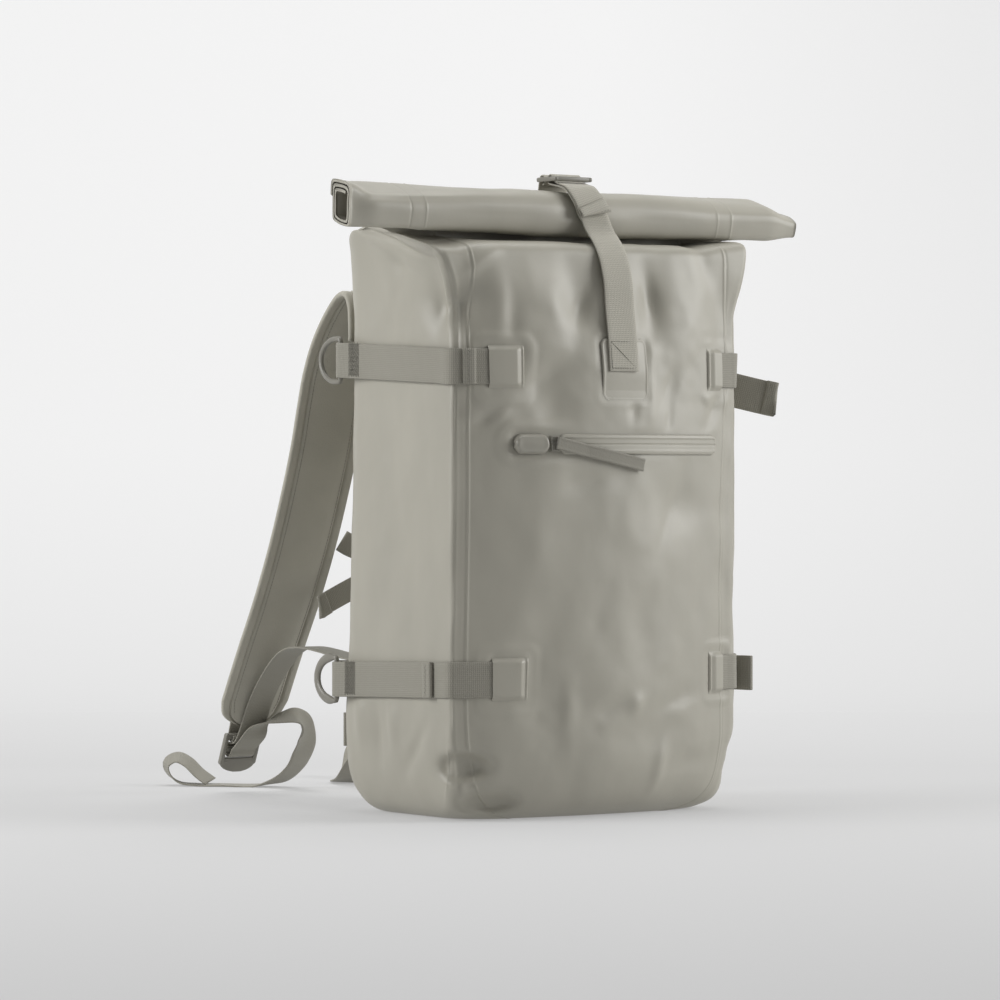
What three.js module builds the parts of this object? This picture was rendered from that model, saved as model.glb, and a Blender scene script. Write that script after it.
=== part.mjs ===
// Roll-top waterproof backpack, in millimetres: front at -Y, straps at +Y, floor at z = 0.
import * as THREE from "three";

// Driving sizes of cloth and webbing
const WALL = 1.5;
const GAP = 0.4;
const SEAT = 0.42;
const WEB = 1.4;
const STRAP_WIDTH = 30;
const ADJUSTER_WIDTH = 26;
const STERNUM_WIDTH = 20;

// Roll and neck
const NECK_Y = -21;
const NECK_HALF_THICKNESS = 2.3;
const ROLL = {
  halfLength: 233, centreY: -44, centreZ: 510.5, halfDepth: 20, halfHeight: 22.5,
  layer: 3, pitch: 3.6, turns: 2.3, squareness: 2.5,
};

// Heights and places on the body
const SEAM_INSET = 8;
const UPPER_STRAP_Z = 379;
const LOWER_STRAP_Z = 119;
const PATCH = { left: { x0: -118, x1: -86 }, right: { x0: 108, x1: 125 }, halfHeight: 18, thickness: 1.4 };
const ZIP = {
  z: 314.5, halfHeight: 8.5, blunt: 0.33, garageStart: -98, garageEnd: -67, garageHeight: 6,
  sliderEnd: -58, sliderHalf: 6.5, sliderHeight: 5, end: 118,
};
const PULL = { startZ: 315, endX: 26, endZ: 297, settled: 3.4, width: 11, thickness: 1.6 };
const ANCHOR = { x: 9, bottom: 376, top: 404, lean: 505 };
const BUCKLE = { x: -2, y: -36, z: 541, halfWidth: 19.5, bar: 4.4, pitch: 12, rim: 4, thickness: 4 };

// Body sections from the floor to the top of the neck. rf and rr are the radii of the front left and front
// right corners, rb that of the back ones. pinch closes the section into the flat neck, and ear draws its
// sides out to the roll's ends.
const SECTIONS = [
  { z: 0, halfWidth: 118, front: -62, back: 84, bulge: 6, rf: 38, rr: 38, rb: 38, pinch: 0, ear: 0 },
  { z: 2.5, halfWidth: 129, front: -70, back: 88, bulge: 10, rf: 32, rr: 33, rb: 36, pinch: 0, ear: 0 },
  { z: 12, halfWidth: 140, front: -79, back: 92, bulge: 17, rf: 22, rr: 26, rb: 33, pinch: 0, ear: 0 },
  { z: 32, halfWidth: 148, front: -84, back: 94, bulge: 22, rf: 12, rr: 20, rb: 28, pinch: 0, ear: 0 },
  { z: 65, halfWidth: 151.5, front: -86, back: 94, bulge: 25, rf: 7, rr: 19, rb: 26, pinch: 0, ear: 0 },
  { z: 110, halfWidth: 152, front: -86, back: 94, bulge: 26, rf: 5, rr: 19, rb: 28, pinch: 0, ear: 0 },
  { z: 170, halfWidth: 151, front: -86, back: 93, bulge: 26, rf: 5, rr: 19, rb: 32, pinch: 0, ear: 0 },
  { z: 240, halfWidth: 150, front: -86, back: 93, bulge: 26, rf: 5, rr: 17, rb: 32, pinch: 0, ear: 0 },
  { z: 310, halfWidth: 149, front: -85, back: 92, bulge: 25, rf: 5, rr: 13, rb: 32, pinch: 0, ear: 0 },
  { z: 370, halfWidth: 148, front: -84, back: 91, bulge: 22, rf: 6, rr: 8, rb: 32, pinch: 0, ear: 0 },
  { z: 420, halfWidth: 150, front: -84, back: 90, bulge: 17, rf: 7, rr: 6, rb: 33, pinch: 0, ear: 0 },
  { z: 450, halfWidth: 155, front: -84, back: 88, bulge: 12, rf: 8, rr: 6, rb: 34, pinch: 0, ear: 0 },
  { z: 468, halfWidth: 160, front: -83, back: 86, bulge: 8, rf: 8, rr: 6, rb: 35, pinch: 0.01, ear: 0.01 },
  { z: 480, halfWidth: 163.5, front: -82, back: 84, bulge: 6, rf: 9, rr: 8, rb: 32, pinch: 0.04, ear: 0.02 },
  { z: 485, halfWidth: 164, front: -80, back: 82, bulge: 4, rf: 10, rr: 10, rb: 28, pinch: 0.15, ear: 0.05 },
  { z: 487, halfWidth: 165, front: -77, back: 80, bulge: 3, rf: 12, rr: 12, rb: 26, pinch: 0.5, ear: 0.12 },
  { z: 488, halfWidth: 165, front: -75, back: 78, bulge: 2, rf: 14, rr: 14, rb: 26, pinch: 1, ear: 0.26 },
  { z: 503, halfWidth: 165, front: -75, back: 78, bulge: 2, rf: 16, rr: 16, rb: 26, pinch: 1, ear: 1 },
];

// Soft dents pressed into the cloth: where along the panel, how high, how far they reach and how deep.
const DENTS = [
  { panel: "front", along: -28, z: 432, reach: 18, height: 30, depth: 7 },
  { panel: "front", along: 44, z: 428, reach: 16, height: 34, depth: 7 },
  { panel: "front", along: -128, z: 440, reach: 14, height: 38, depth: 4 },
  { panel: "front", along: 126, z: 436, reach: 15, height: 34, depth: 4 },
  { panel: "front", along: -62, z: 352, reach: 26, height: 26, depth: 5 },
  { panel: "front", along: 66, z: 262, reach: 30, height: 24, depth: 4 },
  { panel: "front", along: -60, z: 98, reach: 34, height: 30, depth: 4 },
  { panel: "front", along: 40, z: 72, reach: 30, height: 20, depth: 3 },
  { panel: "left", along: -62, z: 438, reach: 16, height: 36, depth: 3 },
  { panel: "left", along: -70, z: 42, reach: 16, height: 14, depth: 4 },
  { panel: "right", along: -62, z: 438, reach: 16, height: 36, depth: 3 },
  { panel: "right", along: -66, z: 44, reach: 16, height: 14, depth: 4 },
];

const UP = new THREE.Vector3(0, 0, 1);
const group = new THREE.Group();
group.name = "waterproof_backpack";

const FINISHES = {
  cloth: { color: 0x8f8c7e, roughness: 0.55, metalness: 0 },
  webbing: { color: 0x7c796b, roughness: 0.8, metalness: 0 },
  plastic: { color: 0x77746a, roughness: 0.5, metalness: 0 },
  padding: { color: 0x6f6c60, roughness: 0.85, metalness: 0 },
};

function point(x, y, z) {
  return new THREE.Vector3(x, y, z);
}

function mix(a, b, t) {
  return a + (b - a) * t;
}

function clamp(value, low, high) {
  return Math.min(high, Math.max(low, value));
}

function addPiece(name, geometry, finish) {
  const mesh = new THREE.Mesh(geometry, new THREE.MeshStandardMaterial(FINISHES[finish]));
  mesh.name = name;
  group.add(mesh);
}

// Closed mesh from points and triangles, turned to face out.
function closedGeometry(points, triangles) {
  let volume = 0;
  for (const [a, b, c] of triangles) {
    volume += points[a].dot(points[b].clone().cross(points[c]));
  }
  const index = triangles.flatMap(([a, b, c]) => (volume > 0 ? [a, b, c] : [a, c, b]));
  const geometry = new THREE.BufferGeometry();
  geometry.setAttribute("position", new THREE.Float32BufferAttribute(points.flatMap((p) => p.toArray()), 3));
  geometry.setIndex(index);
  geometry.computeVertexNormals();
  return geometry;
}

// Sheet between two equal grids of points, closed all round its rim.
function sheetBetween(outer, inner) {
  const rows = outer.length;
  const columns = outer[0].length;
  const points = [...outer.flat(), ...inner.flat()];
  const at = (r, c) => r * columns + c;
  const under = (r, c) => rows * columns + at(r, c);
  const triangles = [];
  const quad = (a, b, c, d) => triangles.push([a, b, c], [a, c, d]);
  for (let r = 0; r < rows - 1; r++) {
    for (let c = 0; c < columns - 1; c++) {
      quad(at(r, c), at(r, c + 1), at(r + 1, c + 1), at(r + 1, c));
      quad(under(r, c), under(r + 1, c), under(r + 1, c + 1), under(r, c + 1));
    }
    quad(at(r, 0), at(r + 1, 0), under(r + 1, 0), under(r, 0));
    quad(at(r + 1, columns - 1), at(r, columns - 1), under(r, columns - 1), under(r + 1, columns - 1));
  }
  for (let c = 0; c < columns - 1; c++) {
    quad(at(0, c + 1), at(0, c), under(0, c), under(0, c + 1));
    quad(at(rows - 1, c), at(rows - 1, c + 1), under(rows - 1, c + 1), under(rows - 1, c));
  }
  return closedGeometry(points, triangles);
}

// Sweep of a closed section along stations; each station lists its section points in order.
function sweepSections(sections, loop) {
  const count = sections[0].length;
  const points = sections.flat();
  const triangles = [];
  const last = loop ? sections.length : sections.length - 1;
  for (let i = 0; i < last; i++) {
    const next = (i + 1) % sections.length;
    for (let j = 0; j < count; j++) {
      const k = (j + 1) % count;
      triangles.push([i * count + j, i * count + k, next * count + k]);
      triangles.push([i * count + j, next * count + k, next * count + j]);
    }
  }
  if (!loop) {
    const end = (sections.length - 1) * count;
    for (let j = 1; j < count - 1; j++) {
      triangles.push([0, j + 1, j], [end, end + j, end + j + 1]);
    }
  }
  return closedGeometry(points, triangles);
}

// Direction of travel at each point of a path.
function tangents(path) {
  return path.map((_, i) => {
    const before = path[Math.max(0, i - 1)];
    const after = path[Math.min(path.length - 1, i + 1)];
    return after.clone().sub(before).normalize();
  });
}

// Flat webbing along a path; across is the direction of its width, one for all or one for each point.
function ribbon(path, across, width, thickness) {
  const along = tangents(path);
  const sections = path.map((centre, i) => {
    const wide = Array.isArray(across) ? across[i] : across;
    const side = wide.clone().addScaledVector(along[i], -wide.dot(along[i])).normalize();
    const face = along[i].clone().cross(side);
    side.multiplyScalar(width / 2);
    face.multiplyScalar(thickness / 2);
    const corner = (w, t) => centre.clone().addScaledVector(side, w).addScaledVector(face, t);
    return [corner(-1, -1), corner(1, -1), corner(1, 1), corner(-1, 1)];
  });
  return sweepSections(sections, false);
}

// Padded band with chamfered edges; width and thickness come with each station.
function paddedBand(stations, across) {
  const path = stations.map((s) => s.at);
  const along = tangents(path);
  const sections = stations.map((s, i) => {
    const face = along[i].clone().cross(across).normalize();
    const edge = s.thickness * 0.35;
    const outline = [
      [-s.width / 2, -s.thickness / 2 + edge], [-s.width / 2 + edge, -s.thickness / 2],
      [s.width / 2 - edge, -s.thickness / 2], [s.width / 2, -s.thickness / 2 + edge],
      [s.width / 2, s.thickness / 2 - edge], [s.width / 2 - edge, s.thickness / 2],
      [-s.width / 2 + edge, s.thickness / 2], [-s.width / 2, s.thickness / 2 - edge],
    ];
    return outline.map(([w, t]) => s.at.clone().addScaledVector(across, w).addScaledVector(face, t));
  });
  return sweepSections(sections, false);
}

// Smooth path through given points, with a number of stations.
function smoothPath(points, count) {
  return new THREE.CatmullRomCurve3(points, false, "centripetal").getSpacedPoints(count - 1);
}

// Rounded rectangle as a three.js shape or hole path.
function roundedRectangle(path, x0, y0, x1, y1, radius) {
  path.moveTo(x0 + radius, y0);
  path.lineTo(x1 - radius, y0);
  path.absarc(x1 - radius, y0 + radius, radius, -Math.PI / 2, 0, false);
  path.lineTo(x1, y1 - radius);
  path.absarc(x1 - radius, y1 - radius, radius, 0, Math.PI / 2, false);
  path.lineTo(x0 + radius, y1);
  path.absarc(x0 + radius, y1 - radius, radius, Math.PI / 2, Math.PI, false);
  path.lineTo(x0, y0 + radius);
  path.absarc(x0 + radius, y0 + radius, radius, Math.PI, Math.PI * 1.5, false);
  return path;
}

// Plate cut from a shape, centred on its thickness and set with its own axes.
function plate(shape, thickness, centre, axisU, axisV) {
  const settings = { depth: thickness, bevelEnabled: false, curveSegments: 2 };
  const geometry = new THREE.ExtrudeGeometry(shape, settings);
  geometry.translate(0, 0, -thickness / 2);
  const frame = new THREE.Matrix4().makeBasis(axisU, axisV, axisU.clone().cross(axisV));
  geometry.applyMatrix4(frame);
  geometry.translate(centre.x, centre.y, centre.z);
  return geometry;
}

// Section of the body at a row number, blended smoothly between the rows of the table.
function sectionAt(row) {
  const last = SECTIONS.length - 1;
  const place = clamp(row, 0, last);
  const i = Math.min(Math.floor(place), last - 1);
  const t = place - i;
  const section = {};
  for (const key of Object.keys(SECTIONS[0])) {
    const [a, b, c, d] = [i - 1, i, i + 1, i + 2].map((n) => SECTIONS[clamp(n, 0, last)][key]);
    const inSlope = b === a || (b - a) * (c - b) <= 0 ? 0 : (c - a) / 2;
    const outSlope = d === c || (c - b) * (d - c) <= 0 ? 0 : (d - b) / 2;
    const steep = 3 * Math.abs(c - b);
    const m0 = clamp(inSlope, -steep, steep);
    const m1 = clamp(outSlope, -steep, steep);
    const t2 = t * t;
    const t3 = t2 * t;
    const rise = 3 * t2 - 2 * t3;
    section[key] = mix(b, c, rise) + m0 * (t3 - 2 * t2 + t) + m1 * (t3 - t2);
  }
  return section;
}

// Row number at a height.
function rowAt(z) {
  let low = 0;
  let high = SECTIONS.length - 1;
  for (let i = 0; i < 40; i++) {
    const middle = (low + high) / 2;
    if (sectionAt(middle).z < z) low = middle;
    else high = middle;
  }
  return low;
}

// How far a dented panel is pressed in.
function dentDepth(panel, along, z) {
  let depth = 0;
  for (const dent of DENTS) {
    if (dent.panel !== panel) continue;
    const across = (along - dent.along) / dent.reach;
    const up = (z - dent.z) / dent.height;
    depth += dent.depth * Math.exp(-(across ** 2) - up ** 2);
  }
  return depth;
}

// Full section of the body. place counts eight stretches round it: front 0 to 1, front right corner,
// right side 2 to 3, back right corner, back 4 to 5, back left corner, left side 6 to 7, front left corner.
function fullOutline(section, place) {
  const { halfWidth: w, front, back, bulge, rf, rr, rb, z } = section;
  const stretch = Math.floor(place) % 8;
  const t = place - Math.floor(place);
  const arc = (cx, cy, radius, from) => {
    const angle = from + (t * Math.PI) / 2;
    return [cx + radius * Math.cos(angle), cy + radius * Math.sin(angle)];
  };
  if (stretch === 0) {
    const x = mix(rf - w, w - rr, t);
    return [x, front - bulge * (1 - (2 * t - 1) ** 2) + dentDepth("front", x, z)];
  }
  if (stretch === 1) return arc(w - rr, front + rr, rr, -Math.PI / 2);
  if (stretch === 2) {
    const y = mix(front + rr, back - rb, t);
    return [w - dentDepth("right", y, z), y];
  }
  if (stretch === 3) return arc(w - rb, back - rb, rb, 0);
  if (stretch === 4) return [mix(w - rb, rb - w, t), back];
  if (stretch === 5) return arc(rb - w, back - rb, rb, Math.PI / 2);
  if (stretch === 6) {
    const y = mix(back - rb, front + rf, t);
    return [-w + dentDepth("left", y, z), y];
  }
  return arc(rf - w, front + rf, rf, Math.PI);
}

// Flat neck, with the same places round it: the sides run out to the roll's ends and back. A share counts
// from the root of the ear to its tip, and the corners lie part of the way out.
const EAR = { frontShare: 0.25, backShare: 0.7, blunt: 0.02 };

function neckOutline(section, place) {
  const stretch = Math.floor(place) % 8;
  const t = place - Math.floor(place);
  const root = section.halfWidth - section.rf;
  const frontY = NECK_Y - NECK_HALF_THICKNESS;
  const backY = NECK_Y + NECK_HALF_THICKNESS;
  if (stretch === 0) return [(2 * t - 1) * root, frontY];
  if (stretch === 4) return [(1 - 2 * t) * root, backY];
  const out = stretch < 4 ? 1 : -1;
  const reach = (share) => out * mix(root, ROLL.halfLength, share);
  const fromFront = stretch < 4 ? t : 1 - t;
  if (stretch === 1 || stretch === 7) return [reach(EAR.frontShare * fromFront), frontY];
  if (stretch === 3 || stretch === 5) return [reach(EAR.backShare * (1 - fromFront)), backY];
  const fromTip = 2 * fromFront - 1;
  const cornerShare = fromTip < 0 ? EAR.frontShare : EAR.backShare;
  const y = NECK_Y + NECK_HALF_THICKNESS * clamp(fromTip / EAR.blunt, -1, 1);
  return [reach(mix(1, cornerShare, Math.abs(fromTip))), y];
}

// Outer surface of the body.
function bodyPoint(place, row) {
  const section = sectionAt(row);
  const [x0, y0] = fullOutline(section, place);
  const [x1, y1] = neckOutline(section, place);
  return point(mix(x0, x1, section.ear), mix(y0, y1, section.pinch), section.z);
}

function bodyNormal(place, row) {
  const step = 0.004;
  const last = SECTIONS.length - 1;
  const across = bodyPoint(place + step, row).sub(bodyPoint(place - step + 8, row));
  const up = bodyPoint(place, Math.min(last, row + step)).sub(bodyPoint(place, Math.max(0, row - step)));
  return across.cross(up).normalize();
}

// Direction up the body's surface.
function bodyUp(place, row) {
  const step = 0.01;
  return bodyPoint(place, row + step).sub(bodyPoint(place, row - step)).normalize();
}

// Point at a distance out from the body's surface.
function offBody(place, row, distance) {
  return bodyPoint(place, row).addScaledVector(bodyNormal(place, row), distance);
}

// Places round the body from a distance along the front or a depth along a side.
function frontPlace(x, z) {
  const section = sectionAt(rowAt(z));
  const { halfWidth, rf, rr } = section;
  return (x + halfWidth - rf) / (2 * halfWidth - rf - rr);
}

function offFront(x, z, distance) {
  return offBody(frontPlace(x, z), rowAt(z), distance);
}

// Rows of the walls' grid, closer together where the neck folds, and its steps along a side
const ROWS = [0, 0.6, 1.2, 2, 3, 4, 5, 6, 7, 8, 9, 9.7, 10.4, 11, 11.7, 12.4, 13.1, 13.8, 14.5, 15.2, 16, 17];
const SIDE_STEPS = [0.16, 0.32, 0.48, 0.52, 0.68, 0.84];

function evenPlaces(from, to, count) {
  return Array.from({ length: count + 1 }, (_, i) => mix(from, to, i / count));
}

function panel(name, places) {
  const outer = ROWS.map((row) => places.map((place) => bodyPoint(place, row)));
  const inner = ROWS.map((row) => places.map((place) => offBody(place, row, -WALL)));
  addPiece(name, sheetBetween(outer, inner), "cloth");
}

// Body panels, parted at the seams
function makeBody() {
  const middle = SECTIONS[7];
  const frontLength = 2 * middle.halfWidth - middle.rf - middle.rr;
  const backLength = 2 * (middle.halfWidth - middle.rb);
  const seam = SEAM_INSET / frontLength;
  const frontGap = GAP / 2 / frontLength;
  const backSeam = 0.02;
  const backGap = (2 * GAP) / backLength;
  panel("front_panel", evenPlaces(seam + frontGap, 1 - seam - frontGap, 18));
  panel("side_panel_right", [
    1 - seam + frontGap, 1.001, 1.35, 1.7, 2.001, ...SIDE_STEPS.map((t) => 2 + t),
    3.001, 3.25, 3.5, 3.75, 4.001, 4 + backSeam - backGap,
  ]);
  panel("back_panel", evenPlaces(4 + backSeam + backGap, 5 - backSeam - backGap, 9));
  panel("side_panel_left", [
    5 - backSeam + backGap, 5.001, 5.25, 5.5, 5.75, 6.001, ...SIDE_STEPS.map((t) => 6 + t),
    7.001, 7.3, 7.65, 8.001, 8 + seam - frontGap,
  ]);
  makeBase();
}

function makeBase() {
  const inset = 0.8;
  const shape = new THREE.Shape();
  const places = [...evenPlaces(0, 1, 10), 1.33, 1.67, 2, 3, 3.33, 3.67, 4, 5, 5.33, 5.67, 6, 7, 7.33, 7.67];
  places.forEach((place, i) => {
    const edge = bodyPoint(place, 0);
    const next = bodyPoint(place + 0.01, 0);
    const inward = point(edge.y - next.y, next.x - edge.x, 0).normalize();
    edge.addScaledVector(inward, inset);
    if (i === 0) shape.moveTo(edge.x, edge.y);
    else shape.lineTo(edge.x, edge.y);
  });
  shape.closePath();
  addPiece("base_panel", plate(shape, WALL, point(0, 0, WALL / 2), point(1, 0, 0), point(0, 1, 0)), "cloth");
}

// Path of the rolled cloth from the top of the neck to the mouth at the core, as [y, z]
function rollPath() {
  const neckTop = SECTIONS[SECTIONS.length - 1].z;
  const path = [[NECK_Y, neckTop + GAP], [NECK_Y - 0.6, neckTop + 4.5]];
  const steps = 16;
  const start = 0.05;
  const bend = (value) => Math.sign(value) * Math.abs(value) ** (2 / ROLL.squareness);
  for (let i = 0; i <= ROLL.turns * steps; i++) {
    const turn = start + i / steps;
    const angle = turn * 2 * Math.PI;
    const shrink = ROLL.layer / 2 + ROLL.pitch * turn;
    path.push([
      ROLL.centreY + (ROLL.halfDepth - shrink) * bend(Math.cos(angle)),
      ROLL.centreZ + (ROLL.halfHeight - shrink) * bend(Math.sin(angle)),
    ]);
  }
  return path.map(([y, z]) => point(0, y, z));
}

function makeRoll() {
  const across = point(1, 0, 0);
  addPiece("roll_top", ribbon(rollPath(), across, 2 * ROLL.halfLength, ROLL.layer), "cloth");
}

// Patch that follows the front panel over a box, between two distances out from it
function frontPatch(name, box, distances, cells, finish) {
  const grid = (distance) =>
    evenPlaces(box.z0, box.z1, cells).map((z) =>
      evenPlaces(box.x0, box.x1, cells).map((x) => offFront(x, z, distance)),
    );
  const [inner, outer] = distances.map(grid);
  addPiece(name, sheetBetween(outer, inner), finish);
}

// Zip on the front: rounded strip, moulded garage at the closed end, slider and pull
function makeZip() {
  const rounded = (fromEnd) => Math.sqrt(1 - (1 - clamp(fromEnd / ZIP.halfHeight + ZIP.blunt, 0, 1)) ** 2);
  const strip = (distance) =>
    evenPlaces(-1, 1, 4).map((v) =>
      evenPlaces(ZIP.sliderEnd, ZIP.end, 16).map((x) =>
        offFront(x, ZIP.z + v * ZIP.halfHeight * rounded(ZIP.end - x), distance),
      ),
    );
  addPiece("zip_strip", sheetBetween(strip(SEAT + 1.25), strip(SEAT)), "cloth");

  const garage = (height) =>
    evenPlaces(-1, 1, 8).map((v) =>
      evenPlaces(ZIP.garageStart, ZIP.garageEnd, 8).map((x) => {
        const round = rounded(x - ZIP.garageStart);
        const dome = Math.sqrt(1 - 0.92 * v * v);
        return offFront(x, ZIP.z + v * ZIP.halfHeight * round, SEAT + height * dome * round);
      }),
    );
  addPiece("zip_garage", sheetBetween(garage(ZIP.garageHeight), garage(0)), "plastic");

  const slider = {
    x0: ZIP.garageEnd + GAP, x1: ZIP.sliderEnd - GAP, z0: ZIP.z - ZIP.sliderHalf, z1: ZIP.z + ZIP.sliderHalf,
  };
  frontPatch("zip_slider", slider, [SEAT, ZIP.sliderHeight], 1, "plastic");

  const top = ZIP.sliderHeight + PULL.thickness / 2 + 1;
  const start = (slider.x0 + slider.x1) / 2 + 1;
  const path = evenPlaces(0, 1, 8).map((t) => {
    const settle = Math.min(1, 3 * t);
    return offFront(mix(start, PULL.endX, t), mix(PULL.startZ, PULL.endZ, t), mix(top, PULL.settled, settle));
  });
  addPiece("zip_pull", ribbon(path, UP, PULL.width, PULL.thickness), "padding");
}

// Folded hem at the end of a strap: turns the path back over itself on its outer face.
function hemFold(path, outward, length) {
  const end = path[path.length - 1];
  const back = path[path.length - 2].clone().sub(end).normalize();
  const lift = WEB + GAP;
  const turn = end.clone().addScaledVector(back, -lift * 0.45).addScaledVector(outward, lift / 2);
  const start = end.clone().addScaledVector(outward, lift);
  return [...path, turn, start, start.clone().addScaledVector(back, length)];
}

// Side compression straps: sign is -1 on the left and 1 on the right. rise tilts the strap towards the back.
// leave is the depth where its free end parts from the side, endY the depth of its tip, and out and drop how
// far the tip stands off and hangs.
const SIDE_STRAPS = [
  { name: "left_upper", sign: -1, z: UPPER_STRAP_Z, rise: 8, leave: 20, endY: -68, endX: -131 },
  { name: "left_lower", sign: -1, z: LOWER_STRAP_Z, rise: -5, leave: 20, endY: -62 },
  { name: "right_upper", sign: 1, z: UPPER_STRAP_Z, rise: 8, leave: 30, endY: -46, out: 66, drop: 26 },
  { name: "right_lower", sign: 1, z: LOWER_STRAP_Z, rise: -5, leave: -30, endY: -76, out: 12, drop: 2 },
];
// Run of a side strap round the back corner, as a share of the half width and a depth behind the back panel
const CORNER_RUN = [
  { share: 0.985, behind: 1 }, { share: 0.94, behind: 8 }, { share: 0.88, behind: 6 },
  { share: 0.78, behind: 0 }, { share: 0.68, behind: 0 },
];
const RING = { y: 80, barRadius: 2.2, depth: 31, flat: 7, overhang: 3.4, hem: 11 };

function makeSideStrap(strap) {
  const { name, sign, z, rise } = strap;
  const row = rowAt(z);
  const section = sectionAt(row);
  const sideX = sign * section.halfWidth;
  const near = 2 * GAP + WEB / 2;
  const height = (y) => z + rise * clamp((y - section.front) / (RING.y - section.front), 0, 1);
  const offSide = (y, distance) => point(sideX + sign * distance, y, height(y));

  // Webbing from under the front patch, round the corner and the side, to the back panel
  const corner = sign < 0 ? [8, 7.66, 7.33, 7] : [1, 1.34, 1.67, 2];
  const cornerRadius = sign < 0 ? section.rf : section.rr;
  const frontEdge = section.halfWidth - cornerRadius;
  const patch = sign < 0 ? PATCH.left : PATCH.right;
  const patchX = (patch.x0 + patch.x1) / 2;
  const covered = evenPlaces(Math.abs(patchX) - 6, frontEdge - 4, 3).map((x) => frontPlace(sign * x, z));
  const round = [...covered, ...corner];
  const path = round.map((place) => offBody(place, row, near));
  const upright = round.map((place) => bodyUp(place, row));
  const straight = evenPlaces(section.front + cornerRadius + 8, section.back - section.rb + 24, 4);
  straight.forEach((y) => path.push(offSide(y, near)));
  CORNER_RUN.forEach(({ share, behind }) => {
    path.push(point(sideX * share, section.back + near + behind, z + rise));
  });
  while (upright.length < path.length) upright.push(UP);
  addPiece("side_strap_" + name, ribbon(path, upright, STRAP_WIDTH, WEB), "webbing");

  const under = near + WEB + GAP;
  const bar = offSide(RING.y, under + WEB / 2 + GAP + RING.barRadius);
  makeRing("d_ring_" + name, bar);
  const ahead = strap.endX ? [...corner].reverse().concat(frontPlace(strap.endX, z)) : [];
  makeRingStrap(strap, bar, offSide, under, ahead.map((place) => offBody(place, row, under + GAP)));

  // Welded patch over the front end of the webbing
  const box = { ...patch, z0: z - PATCH.halfHeight, z1: z + PATCH.halfHeight };
  const above = near + WEB / 2 + 2 * GAP;
  frontPatch("strap_patch_" + name, box, [above, above + PATCH.thickness], 3, "cloth");
}

// Webbing folded round the ring's bar, hemmed at its front end; onward leads it round the corner
function makeRingStrap({ name, sign, leave, endY, out = 0, drop = 0 }, bar, offSide, under, onward) {
  const loopRadius = RING.barRadius + GAP + WEB / 2;
  const path = [offSide(RING.y - 30, under), offSide(RING.y - 12, under)];
  for (let i = 0; i <= 6; i++) {
    const angle = (i / 6) * Math.PI;
    const x = bar.x - sign * loopRadius * Math.cos(angle);
    path.push(point(x, bar.y + loopRadius * Math.sin(angle), bar.z));
  }
  const over = under + WEB + GAP;
  path.push(offSide(RING.y - 14, over + 2), offSide(RING.y - 26, over), offSide(RING.y - 40, under + 0.5));
  const loose = out > 0 ? GAP : 0;
  path.push(offSide(leave, under + loose));
  for (const t of [0.25, 0.5, 0.75, 1]) {
    const away = out * (1 - Math.cos((t * Math.PI) / 2));
    path.push(offSide(mix(leave, endY, t), under + away).addScaledVector(UP, -drop * t));
  }
  path.push(...onward);
  const outward = onward.length ? point(0, -1, 0) : point(sign, -out / 33, 0).normalize();
  addPiece("ring_strap_" + name, ribbon(hemFold(path, outward, RING.hem), UP, STRAP_WIDTH, WEB), "webbing");
}

// D-shaped ring in the plane of the side, straight bar towards the front
function makeRing(name, bar) {
  const half = STRAP_WIDTH / 2 + RING.overhang;
  const path = [point(bar.x, bar.y, bar.z - half), point(bar.x, bar.y, bar.z + half)];
  const steps = 11;
  for (let i = 0; i <= steps; i++) {
    const angle = Math.PI / 2 - (i / steps) * Math.PI;
    const y = bar.y + RING.flat + (RING.depth - RING.flat) * Math.cos(angle);
    path.push(point(bar.x, y, bar.z + half * Math.sin(angle)));
  }
  const out = point(1, 0, 0);
  const sides = 6;
  const sections = path.map((centre, i) => {
    const before = path[(i + path.length - 1) % path.length];
    const after = path[(i + 1) % path.length];
    const inPlane = after.clone().sub(before).normalize().cross(out);
    return evenPlaces(0.5, sides - 0.5, sides - 1).map((j) => {
      const angle = (j / sides) * 2 * Math.PI;
      return centre.clone()
        .addScaledVector(inPlane, RING.barRadius * Math.cos(angle))
        .addScaledVector(out, RING.barRadius * Math.sin(angle));
    });
  });
  addPiece(name, sweepSections(sections, true), "plastic");
}

// Frame with two slots, three bars across it
function slottedFrame(halfWidth, bar, pitch, rim, cornerRadius) {
  const half = pitch + bar / 2;
  const shape = roundedRectangle(new THREE.Shape(), -halfWidth, -half, halfWidth, half, cornerRadius);
  for (const side of [-1, 1]) {
    const middle = (side * pitch) / 2;
    const slot = (pitch - bar) / 2;
    shape.holes.push(roundedRectangle(
      new THREE.Path(), rim - halfWidth, middle - slot, halfWidth - rim, middle + slot, 1,
    ));
  }
  return shape;
}

// Roll closure: strap from the front anchor over the roll, buckle on top, strap down the back
const CLOSURE_PATCH = { x0: -12, x1: 36, z0: 352, z1: 404, thickness: 1.15 };
const OVER_ROLL = [
  { y: -101.5, z: 430 }, { y: -99, z: 452 }, { y: -92.5, z: 472 }, { y: -84, z: 485 }, { y: -73, z: 496 },
  { y: -66, z: 509 }, { y: -63.5, z: 522 }, { y: -57, z: 531.5 }, { y: -50, z: 534.1 },
];
const FOLDED_BACK = [
  { y: -43.2, z: 538.6 }, { y: -50, z: 536.4 }, { y: -58.5, z: 533.8 }, { y: -66, z: 523.5 },
  { y: -69, z: 511 },
];
const BEHIND_ROLL = [{ y: -16.6, z: 505 }, { y: -17, z: 516 }, { y: -17.6, z: 527 }];

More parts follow.
